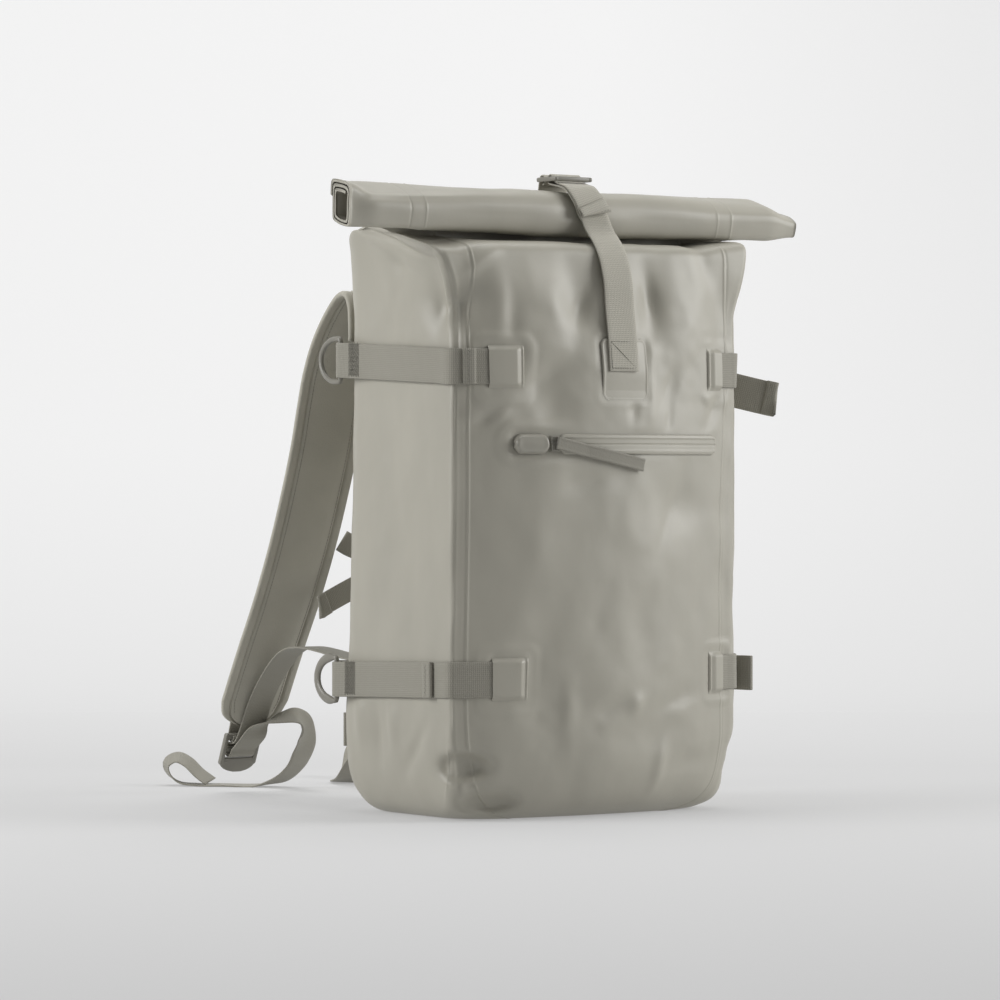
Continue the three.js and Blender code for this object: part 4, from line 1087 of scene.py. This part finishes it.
def make_strap_patch(name, box, sign, height, cloth):
    """Patch welded over the strap's end: it runs out into the panel, and its inner edge has a rim."""
    x0, x1, z0, z1 = box
    cells = 48
    x, z = np.meshgrid(np.linspace(x0, x1, cells), np.linspace(z0, z1, cells))
    from_inner = x1 - x if sign < 0 else x - x0
    from_end = np.minimum(z - z0, z1 - z)
    rim = 0.8 * hump(from_inner, 1.6, 0.9)
    settled = (height - PATCH["thickness"]) * (1 - smooth_step(from_inner, 2, PATCH["run_out"]))
    edge = round_off(from_inner / 1.5)
    out = 0.2 + smooth_step(from_end, -0.3, 4.5) * edge * (height + rim - settled)
    points = off_front(x, z, out).reshape(-1, 3)
    add_mesh("patch_" + name, points, grid_faces(cells, cells), cloth, ("strap_patch_" + name,))


def make_ring_strap(strap, bar, off_side, under, onward, webbing, thread):
    """Webbing folded round the ring's bar, with its hemmed end to the front; onward rounds the corner."""
    name, sign, leave = strap["name"], strap["sign"], strap["leave"]
    loop = RING["radius"] + GAP + WEB / 2
    over = under + WEB + GAP
    path = [off_side(RING["y"] - 30, under), off_side(RING["y"] - 12, under)]
    for angle in np.linspace(0, math.pi, 7):
        path.append(bar + np.array([-sign * loop * math.cos(angle), loop * math.sin(angle), 0]))
    for before, distance in ((14, over + 2), (26, over), (40, under + 0.5)):
        path.append(off_side(RING["y"] - before, distance))
    path.append(off_side(leave, under + (GAP if strap["out"] > 0 else 0)))
    for t in (0.25, 0.5, 0.75, 1):
        away = strap["out"] * (1 - math.cos(t * math.pi / 2))
        path.append(off_side(leave + (strap["end_y"] - leave) * t, under + away) - UP * strap["drop"] * t)
    path += onward
    outward = -BEHIND if onward else unit(np.array([sign, -strap["out"] / 33, 0]))
    folded = hem_fold(path, outward, RING["hem"])
    ribbon("loop_" + name, "ring_strap_" + name, folded, UP, webbing)
    hem_stitches("hem_thread_" + name, folded, outward, thread)
    bartack("bar_thread_" + name, off_side, over + WEB / 2 + 0.2, sign, thread)


def hem_stitches(name, folded, outward, thread):
    """Zigzag across the hem, on its outer face."""
    start, end = folded[-2], folded[-1]
    middle = start + (end - start) * 0.55 + outward * (WEB / 2 + 0.1)
    along = unit(end - start)
    runs = []
    count = 16
    for i in range(count):
        low = (i / count - 0.5) * SEWN_WIDTH
        high = ((i + 1) / count - 0.5) * SEWN_WIDTH
        way = 1.3 if i % 2 else -1.3
        runs.append((middle + UP * low - along * way, middle + UP * high + along * way, outward))
    stitches(name, runs, thread, 0.28)


def bartack(name, off_side, distance, sign, thread):
    """Dense upright stitches where the webbing is sewn together next to the ring."""
    runs = []
    for k in range(BARTACK["rows"]):
        y = RING["y"] - BARTACK["start"] - BARTACK["step"] * k
        centre = off_side(y, distance + BARTACK["out"] - BARTACK["slope"] * k)
        for part in np.linspace(-0.5, 0.42, BARTACK["parts"]):
            low = centre + UP * (part + 0.04 * (k % 2)) * SEWN_WIDTH
            runs.append((low, low + UP * SEWN_WIDTH / 7.6, sign * RIGHT))
    stitches(name, runs, thread, 0.3)


def tube_loop(path, radius, radial, sides=16):
    """Bar along a closed path in a plane of constant x; radial is its half width in that plane."""
    along = unit(np.roll(path, -1, axis=0) - np.roll(path, 1, axis=0))
    inward = np.cross(along, RIGHT)
    angles = np.linspace(0, 2 * math.pi, sides, endpoint=False)
    wide = radial[:, None, None] * np.cos(angles)[None, :, None] * inward[:, None]
    points = path[:, None] + wide + radius * np.sin(angles)[None, :, None] * RIGHT
    total = len(path) * sides
    faces = [[k % total for k in face] for face in grid_faces(len(path) + 1, sides, wrap=True)]
    return points.reshape(-1, 3), faces


def make_ring(name, bar, plastic):
    half = STRAP_WIDTH / 2 + RING["overhang"]
    straight = [(0, h) for h in np.linspace(-half + 2.5, half - 2.5, 16)]
    upper = [(y, half) for y in RING_CORNER]
    lower = [(y, -half) for y in RING_CORNER[::-1]]
    bow = []
    for angle in np.linspace(math.pi / 2, -math.pi / 2, 36):
        y = RING["flat"] + (RING["depth"] - RING["flat"]) * math.cos(angle)
        bow.append((y, half * math.sin(angle)))
    path = np.array([bar + np.array([0, y, z]) for y, z in straight + upper + bow + lower])
    flare = RING_FLARE[name.split("_")[1]]
    radial = RING["radius"] + flare * smooth_step(path[:, 1] - bar[1], 2, 14)
    points, faces = tube_loop(path, RING["radius"], radial)
    add_mesh("ring_" + name, points, faces, plastic, ("d_ring_" + name,))


# Moulded frames: stations along a bar as shares of its length, and how much of its section each has
BAR_SHARES = np.array([0, 0.02, 0.06, 0.5, 0.94, 0.98, 1])
BAR_SECTIONS = (0.72, 0.9, 1, 1, 1, 0.9, 0.72)


def squared_circle(count, power_across, power_out):
    """Unit circle pushed out towards a square, the more so for lower powers."""
    angles = np.linspace(0, 2 * math.pi, count, endpoint=False)
    c, s = np.cos(angles), np.sin(angles)
    return np.sign(c) * np.abs(c) ** power_across, np.sign(s) * np.abs(s) ** power_out


def rounded_bar(start, end, width_axis, width, thickness):
    """Bar with rounded edges between two points."""
    path = start + (end - start) * BAR_SHARES[:, None]
    across, out = squared_circle(20, 0.45, 0.45)
    outline = np.stack([across * width / 2, out * thickness / 2], axis=1)
    return sweep(path, width_axis, [outline * share for share in BAR_SECTIONS])


def join(parts):
    points, faces, count = [], [], 0
    for part_points, part_faces, _ in parts:
        points.append(part_points)
        faces += [[count + k for k in face] for face in part_faces]
        count += len(part_points)
    return np.concatenate(points), faces


def slotted_frame(name, node, centre, axis, size, plastic):
    """Frame of two rails along an axis and three cross bars from left to right."""
    bar, thickness, half_width = size["bar"], size["thickness"], size["half_width"]
    half = size["pitch"] + bar / 2
    parts = []
    for side in (-1, 1):
        rail = centre + RIGHT * side * (half_width - size["rim"] / 2)
        parts.append(rounded_bar(rail - axis * half, rail + axis * half, RIGHT, size["rim"], thickness))
    for level, thinner in ((-1, 1), (0, 0.8), (1, 1)):
        middle = centre + axis * level * size["pitch"]
        reach = RIGHT * (half_width - 1)
        parts.append(rounded_bar(middle - reach, middle + reach, axis, bar, thickness * thinner))
    points, faces = join(parts)
    return add_mesh(name, points, faces, plastic, (node,))


# Roll closure: lines of its straps, as y and z
CLOSURE_PATCH = {"box": (-12, 36, 352, 404), "thickness": 1.15}
OVER_ROLL = [
    (-101.5, 430), (-99, 452), (-92.5, 472), (-84, 485), (-73, 496), (-66, 509), (-63.5, 522),
    (-57, 531.5), (-50, 534.1),
]
FOLDED_BACK = [(-43.2, 538.6), (-50, 536.4), (-58.5, 533.8), (-66, 523.5), (-69, 511)]
BEHIND_ROLL = [(-16.6, 505), (-17, 516), (-17.6, 527)]
BUCKLE_LOOP = BUCKLE["bar"] / 2 + GAP + WEB
CLOSURE_HEM = 9
# Rear strap on the back panel: its place round the body, the height of its foot and its last row
BACK_STRAP = {"place": 4.5, "foot": 424, "last_row": 15.6}
YOKE = {
    "bottom": 396, "top": 440, "thickness": 2.4, "places": (4.08, 4.92), "sewn": (4.1, 4.9),
    "seams": (0.16, 0.84),
}


def patch_fade(z):
    """Runs the closure patch out into the panel towards its lower edge."""
    low = CLOSURE_PATCH["box"][2]
    drop = SEAT + CLOSURE_PATCH["thickness"] + 0.3
    return -drop * (1 - smooth_step(z, low + 2, low + 26))


def lean(y, z):
    """Place on the closure strap, which leans towards the buckle over the roll."""
    roll_top = ROLL["z"] + ROLL["half_height"]
    t = min(1, max(0, (z - ANCHOR["lean"]) / (roll_top - ANCHOR["lean"])))
    return np.array([ANCHOR["x"] + (BUCKLE["x"] - ANCHOR["x"]) * t, y, z])


def round_bar(y, start, end):
    """Webbing's way round a bar of the buckle, from one angle to another in half turns."""
    return [
        np.array([BUCKLE["x"], y + BUCKLE_LOOP * math.cos(a), BUCKLE["z"] + BUCKLE_LOOP * math.sin(a)])
        for a in np.linspace(start * math.pi, end * math.pi, 7)
    ]


def make_closure(cloth, webbing, plastic, thread):
    thickness = CLOSURE_PATCH["thickness"]
    front_pad("anchor_patch", "closure_patch", CLOSURE_PATCH["box"], cloth, patch_fade,
              height=thickness, edge=1.4, radius=7, bead=0.5, cells=80)
    near = SEAT + thickness + GAP + WEB / 2
    heights = np.linspace(ANCHOR["bottom"], ANCHOR["top"], 3)
    path = list(off_front(ANCHOR["x"], heights, near))
    path += [lean(y, z) for y, z in OVER_ROLL]
    path.append(np.array([BUCKLE["x"], BUCKLE["y"] - 5, BUCKLE["z"] - BUCKLE_LOOP - 1.2]))
    path += round_bar(BUCKLE["y"], -0.5, 1)
    path += [lean(y, z) for y, z in FOLDED_BACK]
    folded = hem_fold(path, unit(np.array([0, -0.97, 0.24])), CLOSURE_HEM)
    ribbon("roll_strap", "closure_strap", folded, RIGHT, webbing)
    box_stitches("anchor_thread", near + WEB / 2 + 0.05, thread)

    centre = np.array([BUCKLE["x"], BUCKLE["y"], BUCKLE["z"]])
    slotted_frame("roll_buckle", "closure_buckle", centre, BEHIND, BUCKLE, plastic)
    rows = np.linspace(row_at(BACK_STRAP["foot"]), BACK_STRAP["last_row"], 10)
    back = list(off_body(BACK_STRAP["place"], rows, YOKE["thickness"] + GAP + WEB / 2))
    back += [np.array([0, y, z]) for y, z in BEHIND_ROLL]
    back += round_bar(BUCKLE["y"] + BUCKLE["pitch"], 0, 1.45)
    shifted = [(BUCKLE["x"], y, z) for _, y, z in back]
    ribbon("roll_back_strap", "closure_back_strap", shifted, RIGHT, webbing)


def box_stitches(name, distance, thread):
    """Box with a diagonal at the strap's sewn foot."""
    low, high = ANCHOR["bottom"] + 2.5, ANCHOR["top"] - 3
    left, right = ANCHOR["x"] - 12.5, ANCHOR["x"] + 12.5
    corners = [(left, low), (right, low), (right, high), (left, high)]
    lines = list(zip(corners, corners[1:] + corners[:1]))
    lines.append((corners[3], corners[1]))
    runs = []
    for (x0, z0), (x1, z1) in lines:
        share = np.linspace(0, 1, int(math.hypot(x1 - x0, z1 - z0) / 2.4) + 1)
        spots = off_front(x0 + (x1 - x0) * share, z0 + (z1 - z0) * share, distance)
        runs += stitch_line(spots, -BEHIND, 0.08)
    stitches(name, runs, thread)


# Shoulder straps: the pad's line as y and z, and sizes
PAD_LINE = [
    (97.9, 404), (98.3, 422), (100.2, 436), (107, 445), (117, 444), (131, 434), (146, 419), (159, 402),
    (172, 377), (182, 347), (193, 311), (224, 236), (253, 180), (283.5, 130), (308, 88), (318, 70),
    (322.5, 62),
]
PAD = {
    "x": 100, "width": 70, "end_width": 44, "taper": 26, "round_end": 16, "thickness": 9, "edge": 2.4,
    "binding": 9,
}
# Insets of the pad outline's points: over its binding, then about the sewn groove
BINDING_STEPS = np.array([0, 0.3, 0.8, 1.5, 2.4, 4, 6])
GROOVE_STEPS = np.array([-1.4, -0.8, -0.4, 0, 0.4, 0.8, 1.6, 2.6, 4, 7, 12])
LOCK = {
    "y": 336, "z": 40, "lean": 0.4, "half_width": 19, "bar": 4.6, "pitch": 13, "rim": 4, "thickness": 5,
}
TONGUE = {"start": 9, "length": 13, "out": 1.6}
TAB = {"z": 69, "width": 29, "thickness": 2.4}
# Lines of the webbing on the right side, as x, y and z; at its start y is behind the back at a height
ADJUSTER_FOOT_Z = 100
ADJUSTER_START = [(80, 0, 88), (81, 0.3, 104), (86, 12, 119)]
ADJUSTER_LINE = [(98, 162, 130), (106, 207, 136), (105, 237, 132), (103, 264, 117), (101, 297, 86)]
TAIL_LINE = [
    (100, 313, 51), (98, 305, 61), (92, 298, 66), (82, 292, 69), (69, 292, 69), (56, 299, 63.5),
    (44, 313, 52), (37, 327, 38), (34, 346, 21), (38, 367, 7.5), (47, 391, 1.2), (70, 413, 1.2),
    (88, 433, 1.2), (100, 446, 3.7), (107, 452, 11.5), (108, 454, 20.6), (101, 447, 26.1),
    (94, 440, 22.3), (86, 431, 11.6), (79, 423.5, 4.4),
]
# Lines through the lock, as down along it and out of its face
LOOP_START = [(-52, -7.2), (-36, -7), (-24, -5.6)]
WEB_AT_LOCK = [(-21, 10.8), (-11, 7.6), (-6.6, 2), (-5.4, -2), (-2.6, -4.2), (0.5, -4.4)]
TAIL_AT_LOCK = [(3.4, -3.6), (6.2, -1.8), (6.5, 2.2), (4, 5), (-2, 6.2), (-9, 10.6)]
# Turn of the free end about its line, at counted points from the lock: count, degrees, share turned
TAIL_TURN = [
    (0, 0, 0), (6, 0, 0), (9, 18, 1), (10.5, 22, 1), (13, 40, 1), (15, 20, 1), (16, 0, 1), (18, 0, 1),
    (19, 3, 1), (21, 18, 1),
]
TAB_LINE = [(84, 0), (100, 0), (113, 0.6), (124, 5.5), (133, 13)]
SIDES = ((-1, "left"), (1, "right"))


def mirrored(sign, places):
    return [np.array([sign * x, y, z]) for x, y, z in places]


def behind_back(z, thickness):
    """How far back a band lies that rests on the back panel at a height."""
    return float(section_at(row_at(z))["back"]) + 2 * GAP + thickness / 2


def pad_outline(width):
    """Section of the pad: thin bound edges, a sewn groove, and a crowned middle."""
    groove = PAD["binding"] * width / PAD["width"]
    over_binding = BINDING_STEPS * groove / PAD["binding"]
    insets = np.concatenate([over_binding, groove + GROOVE_STEPS * width / PAD["width"]])
    right = width / 2 - insets
    across = np.concatenate([-right, [0], right[::-1]])
    inset = width / 2 - np.abs(across)
    edge = PAD["edge"]
    half = edge + (PAD["thickness"] / 2 - edge) * smooth_step(inset, groove + 1, groove + 12)
    half = (half - 1.9 * hump(inset, groove, 1.0)) * round_off(inset / edge)
    top = np.stack([across, half], axis=1)
    bottom = np.stack([across, -half], axis=1)[::-1][1:-1]
    return np.concatenate([top, bottom])[::-1]


def make_pad(sign, name, padding, thread):
    fine, _ = resample([(sign * PAD["x"], y, z) for y, z in PAD_LINE], 2.4)
    from_end = path_length(fine) * (1 - np.linspace(0, 1, len(fine)))
    taper = np.sqrt(np.clip(from_end / PAD["taper"], 0, 1))
    widths = PAD["end_width"] + (PAD["width"] - PAD["end_width"]) * taper
    widths *= round_off((from_end + 1) / PAD["round_end"])
    points, faces, uv = sweep(fine, RIGHT, [pad_outline(width) for width in widths])
    pad = add_mesh("pad_" + name, points, faces, padding, ("shoulder_pad_" + name,), uv)
    face = np.cross(tangents(fine), RIGHT)
    inset = widths / 2 - PAD["binding"] - 3
    runs = []
    for edge in (-1, 1):
        for out in (-1, 1):
            spots = fine + RIGHT * (edge * inset)[:, None] + face * out * 2.6
            line, lift = resample(spots[:-6], 3.2, face[:-6] * out)
            runs += stitch_line(line, lift, 0.12)
    stitches("pad_thread_" + name, runs, thread)


def make_tongue(name, centre, down, face, plastic):
    """Rounded plate that the lock ends in below its bars."""
    half = LOCK["half_width"]
    round_across, round_out = squared_circle(40, 0.35, 0.6)
    rows = []
    for share in np.linspace(0, 1, 14):
        across = round_across * (half * math.sqrt(max(0.02, 1 - 0.92 * share**3)))
        thick = LOCK["thickness"] / 2 * (1 - 0.35 * share)
        out = round_out * thick * (1 - 0.3 * (across / half) ** 2) + TONGUE["out"] * share
        middle = centre + down * (TONGUE["start"] + TONGUE["length"] * share)
        rows.append(middle + across[:, None] * RIGHT + out[:, None] * face)
    faces = tube_faces(len(rows), len(round_across))
    add_mesh(name, np.concatenate(rows), faces, plastic)


def tail_width_way(along, turns, sign):
    """Way the free end's width points: level at the lock, then turned by degrees from edge-on."""
    away = np.array([-sign * VIEW_WAY[0], VIEW_WAY[1], 0])
    edge_on = unit(away - along * (along @ away)[:, None])
    open_way = -sign * np.cross(along, edge_on)
    angle = np.radians(turns[:, :1])
    turned = np.cos(angle) * edge_on + np.sin(angle) * open_way
    level = np.array([-sign, 0, 0])
    return level + (turned - level) * turns[:, 1:]


def make_tail(sign, name, tail, webbing):
    """Free end of the adjuster, from the lock to its folded end on the floor."""
    counts, degrees, share = np.array(TAIL_TURN, float).T
    steps = np.arange(len(tail))
    turns = np.stack([np.interp(steps, counts, degrees), np.interp(steps, counts, share)], axis=1)
    fine, turns = resample(tail, 2.0, turns)
    width_way = tail_width_way(tangents(fine), turns, sign)
    outline = band_outline(ADJUSTER_WIDTH, WEB)
    points, faces, uv = sweep(fine, unit(width_way), [outline] * len(fine))
    nodes = ("adjuster_tail_" + name,)
    cord = add_mesh("adjuster_end_" + name, points, faces, webbing, nodes, uv)
    path_length(fine) * METRE
    [tuple(p * METRE) for p in fine[::4]]


def make_harness(sign, name, webbing, padding, plastic, thread):
    make_pad(sign, name, padding, thread)
    down = np.array([0, LOCK["lean"], -math.sqrt(1 - LOCK["lean"] ** 2)])
    face = np.array([0, down[2], -down[1]])
    centre = np.array([sign * PAD["x"], LOCK["y"], LOCK["z"]])
    slotted_frame("lock_" + name, "ladder_lock_" + name, centre, -down, LOCK, plastic)
    make_tongue("lock_tongue_" + name, centre, down, face, plastic)

    def on_lock(places):
        return [centre + down * along + face * out for along, out in places]

    loop = LOCK["thickness"] / 2 + 1 + GAP + WEB / 2
    angles = np.linspace(0, 1.15 * math.pi, 7)
    turns = [(-LOCK["pitch"] + loop * math.sin(a), -loop * math.cos(a)) for a in angles]
    path = on_lock(LOOP_START + turns)
    ribbon("lock_web_" + name, "lock_loop_" + name, path, RIGHT, webbing, ADJUSTER_WIDTH)

    back_y = behind_back(ADJUSTER_FOOT_Z, WEB)
    start = [(x, back_y + behind, z) for x, behind, z in ADJUSTER_START]
    path = mirrored(sign, start + ADJUSTER_LINE) + on_lock(WEB_AT_LOCK)
    ribbon("adjuster_" + name, "adjuster_web_" + name, path, RIGHT, webbing, ADJUSTER_WIDTH)
    make_tail(sign, name, on_lock(TAIL_AT_LOCK) + mirrored(sign, TAIL_LINE), webbing)

    tab_y = behind_back(TAB["z"], TAB["thickness"])
    path = mirrored(sign, [(x, tab_y + behind, TAB["z"]) for x, behind in TAB_LINE])
    ribbon("corner_tab_" + name, "base_tab_" + name, path, UP, webbing, TAB["width"], TAB["thickness"])


def make_yoke(padding, thread):
    """Padded band on the back panel that the shoulder straps start from."""
    count_up, count_across = 16, 60
    rows = np.linspace(row_at(YOKE["bottom"]), row_at(YOKE["top"]), count_up)
    place, row = np.meshgrid(np.linspace(*YOKE["places"], count_across), rows)
    u, v = np.meshgrid(np.linspace(-1, 1, count_across), np.linspace(-1, 1, count_up))
    edge = (1 - np.abs(u) ** 24) * (1 - np.abs(v) ** 8)
    top = off_body(place, row, SEAT + (YOKE["thickness"] - SEAT) * np.sqrt(np.clip(edge, 0, 1)))
    faces = grid_faces(count_up, count_across)
    add_mesh("yoke_pad", top.reshape(-1, 3), faces, padding, ("strap_yoke",))
    runs = []
    for level in YOKE["seams"]:
        level_row = rows[0] + (rows[-1] - rows[0]) * level
        spots = off_body(np.linspace(*YOKE["sewn"], 64), level_row, YOKE["thickness"])
        runs += stitch_line(spots, BEHIND, 0.12)
    stitches("yoke_thread", runs, thread)


# Sternum strap
STERNUM = {"y": 220, "z": 215, "half_width": 15, "half_height": 13, "thickness": 7, "hem": 10}
STERNUM_WEB = [(60, 227.2, 230), (52, 224, 225), (34, 222, 219), (18, 220, 215)]
STERNUM_TAIL = [(-13, 215, 206), (-34, 213, 197), (-62, 214, 185), (-93, 212, 171)]


def make_sternum(webbing, plastic):
    for sign, name in SIDES:
        path = mirrored(sign, STERNUM_WEB)
        ribbon("sternum_strap_" + name, "sternum_web_" + name, path, UP, webbing, STERNUM_WIDTH)
    centre = np.array([0.0, STERNUM["y"], STERNUM["z"]])
    w, h, t = STERNUM["half_width"], STERNUM["half_height"], STERNUM["thickness"]
    parts = [rounded_bar(centre - RIGHT * (w - 5), centre + RIGHT * (w - 5), UP, 2 * h - 8, t)]
    for level in (-1, 1):
        arm = centre + UP * level * (h - 2.5)
        parts.append(rounded_bar(arm - RIGHT * (w - 2), arm + RIGHT * (w - 2), UP, 5, t - 1.5))
    for end in (-1, 1):
        bar = centre + RIGHT * end * (w - 2)
        parts.append(rounded_bar(bar - UP * h, bar + UP * h, RIGHT, 4, t - 2))
    points, faces = join(parts)
    add_mesh("sternum_clip", points, faces, plastic, ("sternum_buckle",))
    tail = hem_fold(STERNUM_TAIL, -BEHIND, STERNUM["hem"])
    ribbon("sternum_end", "sternum_tail", tail, UP, webbing, STERNUM_WIDTH)


# Stage, in metres: a floor with a curved wall all round it, close behind the bag and far off elsewhere
STAGE = {"back": 1.6, "front": -6.5, "half_width": 5.0, "corner": 0.9, "cove": 2.2, "top": 6.0}


def stage_ring(grow, z):
    """Rounded rectangle round the floor, wider by grow on every side, at a height."""
    along = np.array([*VIEW_WAY, 0])
    side = np.array(VIEW_SIDE)
    points = []
    for turn, (d, s) in enumerate(((1, 1), (-1, 1), (-1, -1), (1, -1))):
        edge = STAGE["back"] if d > 0 else STAGE["front"]
        centre = along * (edge - d * STAGE["corner"]) + side * s * (STAGE["half_width"] - STAGE["corner"])
        for angle in (turn + np.linspace(0, 1, 9)) * math.pi / 2:
            way = along * math.cos(angle) + side * math.sin(angle)
            points.append(tuple(centre + way * (STAGE["corner"] + grow) + UP * z))
    return points


def make_stage():
    bends = np.linspace(0, math.pi / 2, 90)
    rings = [(STAGE["cove"] * math.sin(a), STAGE["cove"] * (1 - math.cos(a))) for a in bends]
    rings.append((STAGE["cove"], STAGE["top"]))
    points = [point for grow, z in rings for point in stage_ring(grow, z)]
    count = len(points) // len(rings)
    faces = grid_faces(len(rings), count, wrap=True)
    smooth = [True] * len(faces) + [False]
    faces.append(list(range(count)))
    mesh = bpy.data.meshes.new("backdrop")
    mesh.from_pydata(points, [], faces)
    mesh.polygons.foreach_set("use_smooth", smooth)
    mesh.materials.append(stage_material())
    stage = add_object("backdrop", mesh)


def main():
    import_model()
    make_camera()
    cloth, webbing, padding = cloth_material(), webbing_material(), padding_material()
    plastic, thread = plastic_material(), thread_material()
    for sign, name in SIDES:
        make_harness(sign, name, webbing, padding, plastic, thread)
    make_shell(cloth)
    make_roll(cloth)
    cap, pull = plastic_material("zip_cap", CAP_COLOUR, 0.3), padding_material("zip_pull", PULL_COLOUR)
    make_zip(cloth, plastic, cap, pull)
    # The closure strap's webbing is a lighter copy of the webbing, with painted light in its colour
    make_closure(cloth, webbing_material("closure_webbing_painted_light", CLOSURE_PAINTED_LIGHT_COLOUR), plastic, thread)
    for row in SIDE_STRAPS:
        make_side_strap(dict(zip(SIDE_STRAP_COLUMNS, row)), cloth, webbing, plastic, thread)
    make_yoke(padding, thread)
    make_sternum(webbing, plastic)
    make_stage()
    make_lights()


main()
